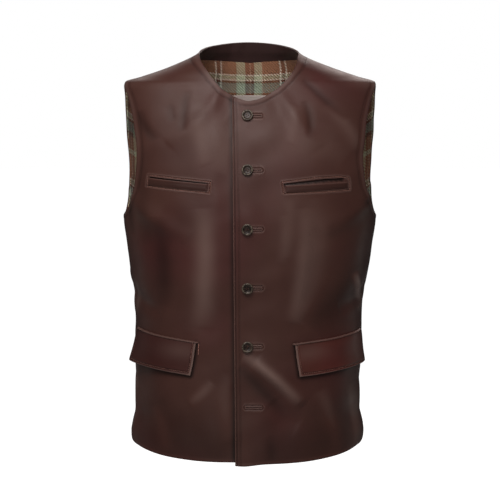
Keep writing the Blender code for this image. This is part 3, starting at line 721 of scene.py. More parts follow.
def score(sheet, a, b, offsets):
    """Cuts the flat faces near the straight line from a to b along lines beside it."""
    way = (b - a) / np.linalg.norm(b - a)
    off = np.array([-way[1], way[0]])
    middles = np.array([face.calc_center_median()[:2] for face in sheet.faces])
    near = beside([a, b], middles)[0] < max(np.abs(offsets)) + 0.003
    faces = [face for face, close in zip(sheet.faces, near) if close]
    geom = list({piece for face in faces for piece in [*face.verts, *face.edges]}) + faces
    for offset in offsets:
        line = a + off * offset
        made = bmesh.ops.bisect_plane(sheet, geom=geom, dist=1e-6, plane_co=(*line, 0), plane_no=(*off, 0))
        geom = made["geom"]


def spot(across, height):
    """A place on the flat cut of the fronts, from how far across and how high it lies when worn."""
    return np.array([angle_at_side(across, height) * ARC, height])


def ease(share):
    """A smooth step from 0 to 1."""
    share = np.clip(share, 0, 1)
    return share**2 * (3 - 2 * share)


Ridge = namedtuple("Ridge", "middle width height")


def ridges(distance, *rows):
    """Soft ridges at their distances from a line, or grooves where a height is negative."""
    return sum(row.height * np.exp(-(((distance - row.middle) / row.width) ** 2)) for row in rows)


# A pocket's stitched frame and the slot's upper lip, as (across, height) measured towards its side.
Pocket = namedtuple("Pocket", "side frame lip")
POCKETS = {
    "right": Pocket(
        -1,
        [(0.0602, -0.1746), (0.1554, -0.1664), (0.1583, -0.1839), (0.0612, -0.1917), (0.0602, -0.1746)],
        [(0.0645, -0.1762), (0.1540, -0.1688)],
    ),
    "left": Pocket(
        1,
        [
            (0.0482, -0.1751), (0.1027, -0.1686), (0.1392, -0.1681), (0.1505, -0.1706),
            (0.1532, -0.1770), (0.1532, -0.1895), (0.0512, -0.1924), (0.0482, -0.1751),
        ],
        [(0.0510, -0.1773), (0.1170, -0.1708), (0.1440, -0.1706)],
    ),
}
FRAME_RIDGES = (Ridge(0, 0.0007, -0.0006), Ridge(0.0017, 0.0008, 0.0004))
SLOT_DEPTH, SLOT_REACH, SLOT_LIP, SLOT_FOOT, SLOT_END = 0.0017, 0.0045, 0.0004, 0.0005, 0.0008
BUTTON_HEIGHTS = [-0.076, -0.157, -0.246, -0.337, -0.429]
LAST_BUTTONHOLE = -0.524
HOLE_START, HOLE_LENGTH, HOLE_HALF = -0.0025, 0.024, 0.0004
BUTTONHOLE_RIDGES = (
    Ridge(0.0015, 0.0008, 0.0004),
    Ridge(0.0034, 0.0008, -0.0005),
    Ridge(0.0050, 0.0012, 0.0003),
)
LIP_LINES = [0.0004, 0.0010, 0.0016, 0.0023, 0.0029, 0.0034, 0.0040, 0.0050]
FRAME_LINES = [-0.0024, -0.0016, -0.0009, -0.0004, 0.0, 0.0004, 0.0009, 0.0016, 0.0024]
SLOT_LINES = [-0.0030, -0.0004, -0.0001, 0.0003, 0.0010]


def holes():
    """Each buttonhole's two ends on the flat cut."""
    start = FRONT_CENTRE + HOLE_START
    heights = [*BUTTON_HEIGHTS, LAST_BUTTONHOLE]
    return [(spot(start, height), spot(start + HOLE_LENGTH, height)) for height in heights]


def laid(pocket, path):
    """A pocket's line on the flat cut."""
    return np.array([spot(pocket.side * across, height) for across, height in path])


def cut_buttonholes(sheet):
    """Opens the slits in the flat left front and gives it the lines for their lips."""
    for start, end in holes():
        score(sheet, start, end, [sign * line for line in LIP_LINES for sign in (-1, 1)])
        for stop, sign in ((start, -1), (end, 1)):
            score(sheet, stop - [0, 0.004], stop + [0, 0.004], [-sign * line for line in (0, *LIP_LINES)])
        middles = np.array([face.calc_center_median()[:2] for face in sheet.faces])
        away, on, off = beside([start, end], middles)
        inside = (np.abs(off) < HOLE_HALF) & (on > 0) & (on < np.linalg.norm(end - start))
        opened = [face for face, gone in zip(sheet.faces[:], inside) if gone]
        bmesh.ops.delete(sheet, geom=opened, context="FACES")


def buttonhole_relief(points):
    """Two lips along each slit, the groove of the stitches round them, and the leather rising again."""
    return sum(ridges(beside(hole, points)[0], *BUTTONHOLE_RIDGES) for hole in holes())


def pocket_relief(points, pocket):
    """The slot above a welt, sunk, which the tone paints dark as shade, and the puffed leather round the frame's
    stitches.
    """
    around = beside(laid(pocket, pocket.frame), points)[0]
    lip = laid(pocket, pocket.lip)[:: -pocket.side]
    _, on, below = beside(lip, points)
    length = np.linalg.norm(np.diff(lip, axis=0), axis=1).sum()
    inside = ease(below / SLOT_LIP) * ease((SLOT_REACH - below) / SLOT_FOOT)
    inside = inside * ease(on / SLOT_END) * ease((length - on) / SLOT_END)
    return ridges(around, *FRAME_RIDGES) * (1 - inside) - SLOT_DEPTH * inside


MAP_FOOT, MAP_TOP, MAP_ROWS = -0.64, 0.04, 68


def real_map(flat, middle):
    """A map in real metres, round the form from the middle of the front, 0, or of the back, 180."""
    turns = np.radians(np.linspace(middle - 90, middle + 90, 181))
    heights = np.linspace(MAP_FOOT, MAP_TOP, MAP_ROWS + 1)[:, None]
    power = column("squareness", heights)
    depth = column("front" if middle == 0 else "back", heights)
    reach = np.abs(np.sin(turns) / column("half_width", heights)) ** power
    reach = reach + np.abs(np.cos(turns) / depth) ** power
    points = np.stack([np.sin(turns), np.cos(turns)], axis=-1) * reach[..., None] ** (-1 / power[..., None])
    steps = np.linalg.norm(np.diff(points, axis=1), axis=-1)
    lengths = np.concatenate([np.zeros((len(heights), 1)), np.cumsum(steps, axis=1)], axis=1)
    lengths -= lengths[:, 90:91]
    row = (flat[:, 1] - MAP_FOOT) / (MAP_TOP - MAP_FOOT) * MAP_ROWS
    turn = flat[:, 0] / ARC - middle + 90
    low, left = np.clip(row.astype(int), 0, MAP_ROWS - 1), np.clip(turn.astype(int), 0, 179)
    up, on = row - low, turn - left
    lower = lengths[low, left] * (1 - on) + lengths[low, left + 1] * on
    upper = lengths[low + 1, left] * (1 - on) + lengths[low + 1, left + 1] * on
    across = lower * (1 - up) + upper * up
    return np.stack([across if middle == 0 else -across, flat[:, 1]], axis=1)


def through(rows, share):
    """The rows with the nearest one moved onto a share, where the edge turns a corner."""
    rows[np.abs(rows - share).argmin()] = share
    return rows


FRONT_COLUMNS = crowded(100, (9, 9), 0.42)
FRONT_CORNER = 25 / 33  # the share of the rows that lie below the neck's corner
FRONT_ROWS = through(crowded(250, (9, 4), 0.5), FRONT_CORNER)
SINK_RAMP = 0.030


def front_cut(front):
    """A front cut flat, laid out for the wearer's left."""
    foot = front_hem(0.0, front)[1]
    corner = front_neck(0.0, front)[1]
    inner = [
        (18, lambda share: free_edge(front, share, foot, CHEST_LINE)),
        (7, lambda share: free_edge(front, share, CHEST_LINE, corner)),
        (8, lambda share: front_neck(share, front)),
    ]
    outer = [
        (18, lambda share: side_seam(share, behind=False)),
        (15, lambda share: armhole(share, behind=False)),
    ]
    return cut_flat(FRONT_COLUMNS, FRONT_ROWS, inner, outer, lambda share: front_hem(share, front))


def sink(angle, height):
    """How far the under front lies in, all under the lap and then less and less beyond the lap's edge."""
    across = form(angle, height)[..., 0]
    beyond = (LEFT.edge_at_neck - across) / SINK_RAMP
    bulge = np.maximum(relief(angle, height), 0)
    return (FRONT_WALL + LAYER_GAP + bulge) * (1 - ease(beyond))


def edges_by_name(edges, rows, corner):
    """A panel's edges by name, from its cut, its rows and the share of them below the neck's corner."""
    corner = np.searchsorted(rows, corner)
    inner, outer = edges["inner"], edges["outer"]
    return {
        "lap": inner[: corner + 1],
        "neck": inner[corner:],
        "hem": edges["hem"],
        "vent": outer[outer[:, 1] < VENT_TOP],
        "side": outer[(outer[:, 1] >= VENT_TOP) & (outer[:, 1] <= ARMPIT)],
        "armhole": outer[outer[:, 1] > ARMPIT],
        "shoulder": np.array([inner[-1], outer[-1]]),
    }


STITCHED = {"lap": LAP_STITCH, "neck": EDGE_STITCH, "armhole": EDGE_STITCH}
TURNED, ROLLED_IN = Ridge(0.0028, 0.0024, 0.0002), Ridge(0, 0.0018, -0.0011)
LAP_PUFF, LAP_GROOVE = Ridge(0.0012, 0.0010, 0.0006), Ridge(0.0034, 0.0011, -0.0005)
EDGE_RIDGES = {
    "lap": (LAP_PUFF, LAP_GROOVE, Ridge(LAP_STITCH, 0.0015, -0.0003)),
    "neck": (TURNED, Ridge(EDGE_STITCH, 0.0015, -0.0003)),
    "armhole": (TURNED, Ridge(EDGE_STITCH, 0.0015, -0.0003)),
    "hem": (TURNED,),
    "vent": (TURNED,),
    "side": (ROLLED_IN,),
    "shoulder": (ROLLED_IN,),
}


def edge_relief(edges, angle, height):
    """A panel's relief near its edges: puffed where turned, grooved along stitches, rolled in at the seams."""
    return sum(ridges(distance_to(path, angle, height), *EDGE_RIDGES[name]) for name, path in edges.items())



FACING_WIDTH = 0.045
# painted shadow, as tone: beside the lap's edge on the under front and round the flaps' inner ends and bottoms
LAP_SHADOW, FLAP_SHADOW = Ridge(0, 0.0050, -0.9), Ridge(0, 0.0036, -1.1)  # darker leather, as tone
# The hip flaps' corners, as (across, height) measured towards their side.
Patch = namedtuple("Patch", "side inner_low inner_high outer_low outer_high")
FLAPS = {
    "right": Patch(-1, (0.0910, -0.4755), (0.0820, -0.4245), (0.1790, -0.4660), (0.1770, -0.4135)),
    "left": Patch(1, (0.0760, -0.4770), (0.0690, -0.4270), (0.1750, -0.4690), (0.1735, -0.4165)),
}


def corners_of(patch):
    """A patch's corners on the flat cut: inner low, inner high, outer high and outer low."""
    corners = (patch.inner_low, patch.inner_high, patch.outer_high, patch.outer_low)
    return np.array([spot(patch.side * across, height) for across, height in corners])


front_shapes = {}
for name, front, side in (("left", LEFT, 1), ("right", RIGHT, -1)):
    sheet, edges = front_cut(front)
    for vert in sheet.verts:
        vert.co.x *= side
    pocket = POCKETS[name]
    frame_line, lip_line = laid(pocket, pocket.frame), laid(pocket, pocket.lip)
    for a, b in zip(frame_line[:-1], frame_line[1:]):
        score(sheet, a, b, FRAME_LINES)
    for a, b in zip(lip_line[:-1], lip_line[1:]):
        score(sheet, a, b, [-side * line for line in SLOT_LINES])
    if name == "left":
        cut_buttonholes(sheet)
    thicken(sheet, FRONT_WALL)
    round_rim(sheet)

    named = edges_by_name(edges, FRONT_ROWS, FRONT_CORNER)
    under = level(0.0) if name == "left" else sink

    def face_of(angle, height, named=named, under=under, pocket=pocket, side=side):
        """How far out the front's outer face lies."""
        points = np.stack([angle * ARC, height], axis=-1)
        out = edge_relief(named, side * angle, height) + pocket_relief(points, pocket) - under(angle, height)
        return out + buttonhole_relief(points) if side == 1 else out

    front_shapes[name] = face_of, named
    inner_faces = [face for face in sheet.faces if max(vert.co.z for vert in face.verts) < 1e-6]
    middles = np.array([face.calc_center_median() for face in inner_faces])
    in_from_lap = distance_to(edges["inner"], side * middles[:, 0] / ARC, middles[:, 1])
    for face, away in zip(inner_faces, in_from_lap):
        face.material_index = 2 if away < FACING_WIDTH else 1
    flat = wrap(sheet, FRONT_WALL, lambda angle, height: -FRONT_WALL - under(angle, height), face_of)
    bmesh.ops.triangulate(sheet, faces=[face for face in sheet.faces if len(face.verts) > 4])
    angle, height = flat[:, 0] / ARC, flat[:, 1]
    # the tone: painted highlight on ridges and puffs and painted shade in creases, grooves and the pocket slots
    tone = painted_light_and_pull_up(flat, face_of(angle, height) + under(angle, height))
    # painted shadow where the lap's edge and the flaps overhang the front
    if name == "right":
        tone += ridges(edge_across(LEFT, height) - form(angle, height)[:, 0], LAP_SHADOW)
    inner_low, inner_high, _, outer_low = corners_of(FLAPS[name])
    tone += ridges(beside([inner_high, inner_low, outer_low], flat[:, :2])[0], FLAP_SHADOW)
    maps = real_map(flat, 0)
    panel = finished(f"panel_front_{name}", sheet, [panel_hide, wool, facing_hide], maps, tone)
    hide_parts(f"front_{name}")

# The back. One leather panel, joined to the fronts at the shoulders and sides and open in a vent above the
# side hem. It is cut as a half and mirrored at the middle of the back.

BACK_COLUMNS = crowded(72, (0, 9), 0.42)
BACK_CORNER = 22 / 29
BACK_ROWS = through(crowded(220, (7, 5), 0.5), BACK_CORNER)


def back_neck(share):
    """From the middle of the back neck round to the neck point."""
    angle = 180 - (90 - seam_turn(NECK_POINT)) * share
    return angle, NECK_POINT + (BACK_NECK - NECK_POINT) * -np.cos(np.radians(angle))


def back_hem(share):
    """From the middle of the back round to the side."""
    end = side_seam(0.0, behind=True)[0]
    height = BACK_HEM + (SIDE_HEM - BACK_HEM) * share**HEM_CURVE
    return 180 + (end - 180) * share, height


def back_cut():
    """Half the back cut flat, from the middle round to the side seam and the armhole."""
    inner = [
        (14, lambda share: (180.0, BACK_HEM + (CHEST_LINE - BACK_HEM) * share)),
        (8, lambda share: (180.0, CHEST_LINE + (BACK_NECK - CHEST_LINE) * share)),
        (7, back_neck),
    ]
    outer = [
        (14, lambda share: side_seam(share, behind=True)),
        (15, lambda share: armhole(share, behind=True)),
    ]
    return cut_flat(BACK_COLUMNS, BACK_ROWS, inner, outer, back_hem)


def mirrored(half):
    """Joins a flat half to its mirror image at the middle of the back."""
    middle = Matrix.Translation((180 * ARC, 0, 0))
    bmesh.ops.transform(half, matrix=middle.inverted(), verts=half.verts[:])
    bmesh.ops.mirror(half, geom=half.verts[:] + half.edges[:] + half.faces[:], merge_dist=1e-6, axis="X")
    bmesh.ops.transform(half, matrix=middle, verts=half.verts[:])
    bmesh.ops.recalc_face_normals(half, faces=half.faces[:])


sheet, edges = back_cut()
lining_half, facing_half = sheet.copy(), sheet.copy()
mirrored(sheet)
thicken(sheet, BACK_WALL)
round_rim(sheet)
back_edges = edges_by_name(edges, BACK_ROWS, BACK_CORNER)
del back_edges["lap"]  # the middle of the back, where nothing is cut


def back_face(angle, height):
    """How far out the back's outer face lies, the same on both sides of its middle."""
    return edge_relief(back_edges, 180 - np.abs(angle - 180), height)


flat = wrap(sheet, BACK_WALL, level(-BACK_WALL), back_face)
# the tone: painted highlight on ridges and puffs and painted shade in creases and grooves
tone = painted_light_and_pull_up(flat, back_face(flat[:, 0] / ARC, flat[:, 1]))
panel = finished("panel_back", sheet, [panel_hide], flat, tone)
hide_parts("back")

# The lining of the back, in a checked wool, and the leather facing inside the neck. They show through the neck
# and the armholes.

FACING_AT_SIDE, FACING_AT_MIDDLE = 0.011, 0.0005
LINING_HEM = -0.580
LINING_BOW = 0.036  # how much higher the cloth's cross stripes lie at the armholes
LINING_OUT = -BACK_WALL - LAYER_GAP
LINING_IN = LINING_OUT - LINING_WALL
FACING_EDGE = ((90 * ARC, FACING_AT_SIDE, 0), (FACING_AT_SIDE - FACING_AT_MIDDLE, 90 * ARC, 0))
HEM_EDGE = ((90 * ARC, LINING_HEM, 0), (0, 1, 0))


def cut_along(sheet, edge, keep):
    """Cuts the flat sheet along a line, given as a point and a normal, and keeps one side of it."""
    bmesh.ops.bisect_plane(
        sheet,
        geom=sheet.verts[:] + sheet.edges[:] + sheet.faces[:],
        dist=1e-6,
        plane_co=edge[0],
        plane_no=edge[1],
        clear_outer=keep == "below",
        clear_inner=keep == "above",
    )


cut_along(lining_half, FACING_EDGE, keep="below")
cut_along(lining_half, HEM_EDGE, keep="above")
mirrored(lining_half)
thicken(lining_half, LINING_WALL)
flat = wrap(lining_half, LINING_WALL, level(LINING_IN), level(LINING_OUT))
cloth = real_map(flat, 180)
cloth[:, 1] -= LINING_BOW * (cloth[:, 0] / 0.19) ** 2
lining = finished("lining", lining_half, [wool], cloth)
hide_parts("back_lining")

cut_along(facing_half, FACING_EDGE, keep="above")
mirrored(facing_half)
thicken(facing_half, LINING_WALL)
flat = wrap(facing_half, LINING_WALL, level(LINING_IN), level(LINING_OUT))
facing = finished("neck_facing", facing_half, [facing_hide], flat)
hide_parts("back_neck_facing")

# The label, a plain woven tab that stands just inside the lining.

LABEL_HALF, LABEL_TOP, LABEL_FOOT = 0.045, -0.0525, -0.1125
LABEL_WALL, LABEL_STAND = 0.0006, 0.0009

label_cloth, tree, surface = new_finish("plain_label_cloth")
cut = node(tree, "UVMap", uv_map="flat_cut")["UV"]
threads = node(tree, "TexWave", wave_type="BANDS", bands_direction="Y", Vector=cut, Scale=900.0)["Fac"]
shade = mixed(tree, threads, (0.62, 0.58, 0.56, 1), (0.50, 0.46, 0.44, 1))
bumped = node(tree, "Bump", Strength=0.3, Distance=0.0002, Height=threads)
feed(tree, surface, Roughness=0.8, Sheen_Weight=0.3, Base_Color=shade, Normal=bumped["Normal"])

sheet = bmesh.new()
bmesh.ops.create_grid(sheet, x_segments=48, y_segments=32, size=0.5)
for vert in sheet.verts:
    across = vert.co.x * 2 * LABEL_HALF
    height = LABEL_FOOT + (LABEL_TOP - LABEL_FOOT) * (vert.co.y + 0.5)
    vert.co = ((180 - np.degrees(np.arctan2(across, column("back", height)))) * ARC, height, 0)
thicken(sheet, LABEL_WALL)
round_rim(sheet, reach=0.0002, steps=1)
LABEL_FACE = LINING_IN - LABEL_STAND
flat = wrap(sheet, LABEL_WALL, level(LABEL_FACE - LABEL_WALL), level(LABEL_FACE))
label = finished("label_tab", sheet, [label_cloth], flat)
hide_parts("label")

# The chest pockets' welts, folded strips of the same hide that stand up to just below the slots.

# The whole welt is painted darker by its tone, and its folded top paler, as a painted highlight.
WELT_WALL, WELT_TONE = 0.0018, -0.4
WELT_FOLD, WELT_SEWN = Ridge(0.0014, 0.0016, 0.0004), Ridge(0, 0.0022, -0.0009)
WELT_TOP_HIGHLIGHT = Ridge(0, 0.0022, 0.7)
WELTS = {
    "right": Patch(-1, (0.0648, -0.1888), (0.0640, -0.1779), (0.1556, -0.1820), (0.1540, -0.1708)),
    "left": Patch(1, (0.0548, -0.1910), (0.0538, -0.1800), (0.1496, -0.1860), (0.1486, -0.1768)),
}


def patch_cut(patch, columns, rows):
    """A small piece cut flat between its four corners, measured across towards its side."""
    sheet = bmesh.new()
    bmesh.ops.create_grid(sheet, x_segments=len(columns) - 1, y_segments=len(rows) - 1, size=0.5)
    for vert in sheet.verts:
        share = columns[round((vert.co.x + 0.5) * (len(columns) - 1))]
        rise = rows[round((vert.co.y + 0.5) * (len(rows) - 1))]
        low = (1 - share) * np.array(patch.inner_low) + share * np.array(patch.outer_low)
        high = (1 - share) * np.array(patch.inner_high) + share * np.array(patch.outer_high)
        across, height = low + (high - low) * rise
        vert.co = (*spot(patch.side * across, height), 0)
    return sheet


for name, patch in WELTS.items():
    sheet = patch_cut(patch, crowded(56, (5, 5), 0.4), crowded(9, (2, 2), 0.5))
    thicken(sheet, WELT_WALL)
    round_rim(sheet, reach=0.0007, steps=3)
    inner_low, inner_high, outer_high, outer_low = corners_of(patch)

    def welt_face(angle, height):
        """Proud along the folded top, and drawn down where the bottom and the ends are sewn in."""
        points = np.stack([angle * ARC, height], axis=-1)
        top = beside([inner_high, outer_high], points)[0]
        sewn = beside([inner_high, inner_low, outer_low, outer_high], points)[0]
        return GAP + WELT_WALL + ridges(top, WELT_FOLD) + ridges(sewn, WELT_SEWN)

    flat = wrap(sheet, WELT_WALL, level(GAP), welt_face)
    tone = ridges(beside([inner_high, outer_high], flat[:, :2])[0], WELT_TOP_HIGHLIGHT) + WELT_TONE
    welt = finished(f"welt_{name}", sheet, [panel_hide], flat, tone)
    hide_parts(f"welt_chest_{name}")

# The hip flaps. Each hangs from a narrow piped seam, stands off most at its outer low corner and has a row of
# stitches along its free edges.

FLAP_WALL, FLAP_STAND_IN = 0.0024, 0.0015
FLAP_STAND_OUT = {"right": 0.0100, "left": 0.0045}
FLAP_STITCH = 0.0046
FLAP_RIDGES = (
    Ridge(0.0022, 0.0020, 0.0003),
    Ridge(FLAP_STITCH, 0.0010, -0.0006),
    Ridge(0.0072, 0.0020, 0.0002),
)
# Painted light on the flaps, as tone: a painted highlight along the free edges with painted shade in the stitch
# groove, a patch of painted highlight near the top and a painted highlight on the turned front end.
FLAP_EDGE_HIGHLIGHT_AND_SHADE = (Ridge(0.0006, 0.0018, 1.1), Ridge(FLAP_STITCH, 0.0012, -0.8))
FLAP_HIGHLIGHT, FLAP_HIGHLIGHT_SIZE, FLAP_HIGHLIGHT_DROP = 0.45, (0.030, 0.014), 0.018
FLAP_TURNING, TURNING_HIGHLIGHT = 0.0036, 0.90  # the pale turned edge at the flap's front end
# the flap on the wearer's left has a paler, redder hide than the one on the right
FLAP_COLOURS = {
    "right": ((0.060, 0.022, 0.019), (0.044, 0.014, 0.012), (0.064, 0.018, 0.016), 0.44),
    "left": ((0.100, 0.037, 0.028), (0.066, 0.021, 0.016), (0.100, 0.026, 0.022), 0.40),
}
flap_hides = {name: leather(f"flap_hide_{name}", *colours) for name, colours in FLAP_COLOURS.items()}


def flap_stand(patch, stand_out):
    """How far the flap stands off the front, from nothing at its sewn top."""

    def stand(angle, height):
        across = patch.side * form(angle, height)[..., 0]
        outwards = np.clip((across - patch.inner_high[0]) / (patch.outer_high[0] - patch.inner_high[0]), 0, 1)
        top = patch.inner_high[1] + (patch.outer_high[1] - patch.inner_high[1]) * outwards
        fall = np.clip((top - height) / (patch.inner_high[1] - patch.inner_low[1]), 0, 1)
        return LAYER_GAP + fall * (FLAP_STAND_IN + (stand_out - FLAP_STAND_IN) * outwards**3)

    return stand


flap_shapes = {}
for name, patch in FLAPS.items():
    sheet = patch_cut(patch, crowded(64, (8, 8), 0.5), crowded(30, (8, 3), 0.5))
    thicken(sheet, FLAP_WALL)
    round_rim(sheet, reach=0.0009, steps=3)
    inner_low, inner_high, outer_high, outer_low = corners_of(patch)
    free = np.array([inner_high, inner_low, outer_low, outer_high])
    stand = flap_stand(patch, FLAP_STAND_OUT[name])

    def flap_face(angle, height, stand=stand, free=free):
        """The flap's outer face, puffed between its free edges and their stitches."""
        away = beside(free, np.stack([angle * ARC, height], axis=-1))[0]
        return stand(angle, height) + FLAP_WALL + ridges(away, *FLAP_RIDGES)

    flat = wrap(sheet, FLAP_WALL, stand, flap_face)
    points = flat[:, :2]
    # the flap's tone: its painted highlights and painted shade
    highlight_at = (inner_high + outer_high) * (0.2, 0.5) + (0.6 * inner_high[0], -FLAP_HIGHLIGHT_DROP)
    spread = np.linalg.norm((points - highlight_at) / FLAP_HIGHLIGHT_SIZE, axis=1)
    tone = FLAP_HIGHLIGHT * np.exp(-(spread**2)) + ridges(beside(free, points)[0], *FLAP_EDGE_HIGHLIGHT_AND_SHADE)
    tone += TURNING_HIGHLIGHT * np.exp(-((beside(free[:2], points)[0] / FLAP_TURNING) ** 4))
    flap = finished(f"hip_flap_{name}", sheet, [flap_hides[name]], flat, np.clip(tone, -1, 1.3))
    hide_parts(f"flap_{name}")
    flap_shapes[name] = flap_face, free

# The piping over each flap, a narrow turned strip that the flap's top is sewn under.

PIPING_HALF, PIPING_PAST, PIPING_ROWS, PIPING_UP = 0.0014, 0.004, 8, 0.0013
# the piping's tone paints it pale all along, as a painted highlight
PIPING_WALL, PIPING_LEAST, PIPING_HIGHLIGHT = 0.001, 0.0001, 0.55
PIPING_PROUD = LAYER_GAP + FLAP_WALL + 0.0008
PIPING_ENDS = (0.003, 0.006)  # how long it takes to rise at its front end and to fall at the other

for name, patch in FLAPS.items():
    _, inner_high, outer_high, _ = corners_of(patch)
    way = (outer_high - inner_high) / np.linalg.norm(outer_high - inner_high)
    first = inner_high - way * PIPING_PAST
    run = np.linalg.norm(outer_high - first)
    sheet = bmesh.new()
    bmesh.ops.create_grid(sheet, x_segments=70, y_segments=PIPING_ROWS, size=0.5)
    for vert in sheet.verts:
        on, off = (vert.co.x + 0.5) * run, (vert.co.y * 2) * PIPING_HALF
        middle = first + way * on + np.array([0, PIPING_UP])
        vert.co = (*(middle + np.array([-way[1], way[0]]) * off), 0)
    thicken(sheet, PIPING_WALL)
    low = first + np.array([0, PIPING_UP])

    def piping_face(angle, height):
        """Round across its width, and dying away at its ends."""
        points = np.stack([angle * ARC, height], axis=-1)
        _, on, off = beside([low, low + way * run], points)
        bow = np.sqrt(np.clip(1 - (off / PIPING_HALF) ** 2, 0, 1))
        ends = ease(on / PIPING_ENDS[0]) * ease((run - on) / PIPING_ENDS[1])
        return GAP + PIPING_LEAST + PIPING_PROUD * bow * ends

    flat = wrap(sheet, PIPING_WALL, level(GAP * 0.5), piping_face)
    finished(f"flap_piping_{name}", sheet, [panel_hide], flat, np.full(len(flat), PIPING_HIGHLIGHT))

# The buttons, turned from dark horn with a raised rim and four holes, sewn through with thread.

ButtonPoint = namedtuple("ButtonPoint", "radius rise")
BUTTON_SECTION = [
    ButtonPoint(0.0000, 0.0000),
    ButtonPoint(0.0058, 0.0000),
    ButtonPoint(0.0070, 0.0003),
    ButtonPoint(0.0080, 0.0010),
    ButtonPoint(0.0086, 0.0018),
    ButtonPoint(0.0088, 0.0026),
    ButtonPoint(0.0086, 0.0033),
    ButtonPoint(0.0080, 0.0038),
    ButtonPoint(0.0072, 0.0039),
    ButtonPoint(0.0066, 0.0036),
    ButtonPoint(0.0061, 0.0029),
    ButtonPoint(0.0055, 0.0024),
    ButtonPoint(0.0040, 0.0021),
    ButtonPoint(0.0020, 0.0020),
    ButtonPoint(0.0000, 0.0020),
]
BUTTON_SIDES, HOLE_SIDES = 56, 16
BUTTON_HOLE, HOLES_APART = 0.00085, 0.0030
WELL_RADIUS = 0.0060
BUTTON_TURN = 0.5  # how far each button is turned past the one above it

def cloudy_horn(name, dark, pale):
    """Horn with clouds of two colours in it."""
    made, tree, surface = new_finish(name)
    point = node(tree, "TexCoord")["Object"]
    cloudy = node(tree, "TexNoise", Vector=point, Scale=220.0, Detail=3.0, Distortion=1.2)
    ramp = tree.nodes.new("ShaderNodeValToRGB")
    for stop, position, colour in zip(ramp.color_ramp.elements, (0.40, 0.72), (dark, pale)):
        stop.position = position
        stop.color = (*colour, 1)
    feed(tree, ramp, Fac=cloudy["Fac"])
    feed(tree, surface, Roughness=0.38, Specular_IOR_Level=0.4, Base_Color=ramp.outputs["Color"])
    return made


# The rim's horn has paler clouds, a painted highlight on the raised rim, and the well's is nearly black, painted
# shade in the dish.
highlighted_rim_horn = cloudy_horn("horn_rim_painted_highlight", (0.030, 0.024, 0.018), (0.170, 0.145, 0.110))
shaded_well_horn = cloudy_horn("horn_well_painted_shade", (0.008, 0.005, 0.004), (0.045, 0.030, 0.022))


def seat(height):
    """Where a button sits: a matrix with its Z along the leather's normal and its X across."""
    point, normal = place(angle_at_side(FRONT_CENTRE, height), height)
    outward = Vector(normal)
    across = Vector((1, 0, 0))
    across = (across - across.dot(outward) * outward).normalized()
    turned = Matrix((across, outward.cross(across), outward)).transposed().to_4x4()
    return Matrix.Translation(Vector(point)) @ turned


sheet = bmesh.new()
verts = [sheet.verts.new((point.radius, 0, point.rise)) for point in BUTTON_SECTION]
line = [sheet.edges.new(pair) for pair in zip(verts[:-1], verts[1:])]
bmesh.ops.spin(
    sheet,
    geom=verts + line,
    cent=(0, 0, 0),
    axis=(0, 0, 1),
    angle=2 * np.pi,
    steps=BUTTON_SIDES,
    use_merge=True,
)
bmesh.ops.remove_doubles(sheet, verts=sheet.verts[:], dist=1e-6)
bmesh.ops.recalc_face_normals(sheet, faces=sheet.faces[:])
whole = bpy.data.meshes.new("button_blank")
sheet.to_mesh(whole)
sheet.free()
drills = bmesh.new()
drill_size = {"radius1": BUTTON_HOLE, "radius2": BUTTON_HOLE, "depth": 0.01, "segments": HOLE_SIDES}
for x in (-1, 1):
    for y in (-1, 1):
        where = Matrix.Translation((x * HOLES_APART / 2, y * HOLES_APART / 2, 0.001))
        bmesh.ops.create_cone(drills, cap_ends=True, matrix=where, **drill_size)
drill_mesh = bpy.data.meshes.new("button_drills")
drills.to_mesh(drill_mesh)
drills.free()
blank = bpy.data.objects.new("button_blank", whole)
drill = bpy.data.objects.new("button_drills", drill_mesh)
for tool in (blank, drill):
    scene.collection.objects.link(tool)
bored = blank.modifiers.new("holes", "BOOLEAN")
bored.operation, bored.object = "DIFFERENCE", drill
drilled = bpy.data.meshes.new_from_object(blank.evaluated_get(bpy.context.evaluated_depsgraph_get()))
for tool in (blank, drill):
    bpy.data.objects.remove(tool)
# the well's faces take the horn painted dark with shade
for face in drilled.polygons:
    face.material_index = int(np.hypot(face.center.x, face.center.y) < WELL_RADIUS)

for number, height in enumerate(BUTTON_HEIGHTS, start=1):
    sheet = bmesh.new()
    sheet.from_mesh(drilled)
    turned = Matrix.Rotation(BUTTON_TURN * number, 4, "Z")
    where = seat(height) @ Matrix.Translation((0, 0, GAP)) @ turned
    bmesh.ops.transform(sheet, matrix=where, verts=sheet.verts[:])
    button = finished(f"horn_button_{number}", sheet, [highlighted_rim_horn, shaded_well_horn])
    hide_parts(f"button_{number}")

# The stitching: rows of short raised stitches along the turned edges, round the buttonholes and pockets and on
# the flaps, and the thread through each button.

STITCH_PITCH, STITCH_LENGTH, STITCH_RADIUS = 0.0032, 0.0025, 0.00028
STITCH_REACH = 0.0006  # how far before and after a stitch its direction is read
HOLE_STITCH = 0.0034  # from a buttonhole's ends to its row of stitches


def thread(name, colour):
    """Matt twisted thread."""
    made, tree, surface = new_finish(name)
    fibres = node(tree, "TexNoise", Vector=node(tree, "TexCoord")["Object"], Scale=2400.0, Detail=1.0)
    bumped = node(tree, "Bump", Strength=0.4, Distance=0.0001, Height=fibres["Fac"])
    feed(tree, surface, Base_Color=(*colour, 1), Roughness=0.95)
    feed(tree, surface, Specular_IOR_Level=0.15, Normal=bumped["Normal"])
    return made


brown_thread = thread("brown_thread", (0.105, 0.050, 0.040))
rose_thread = thread("rose_thread", (0.40, 0.21, 0.17))


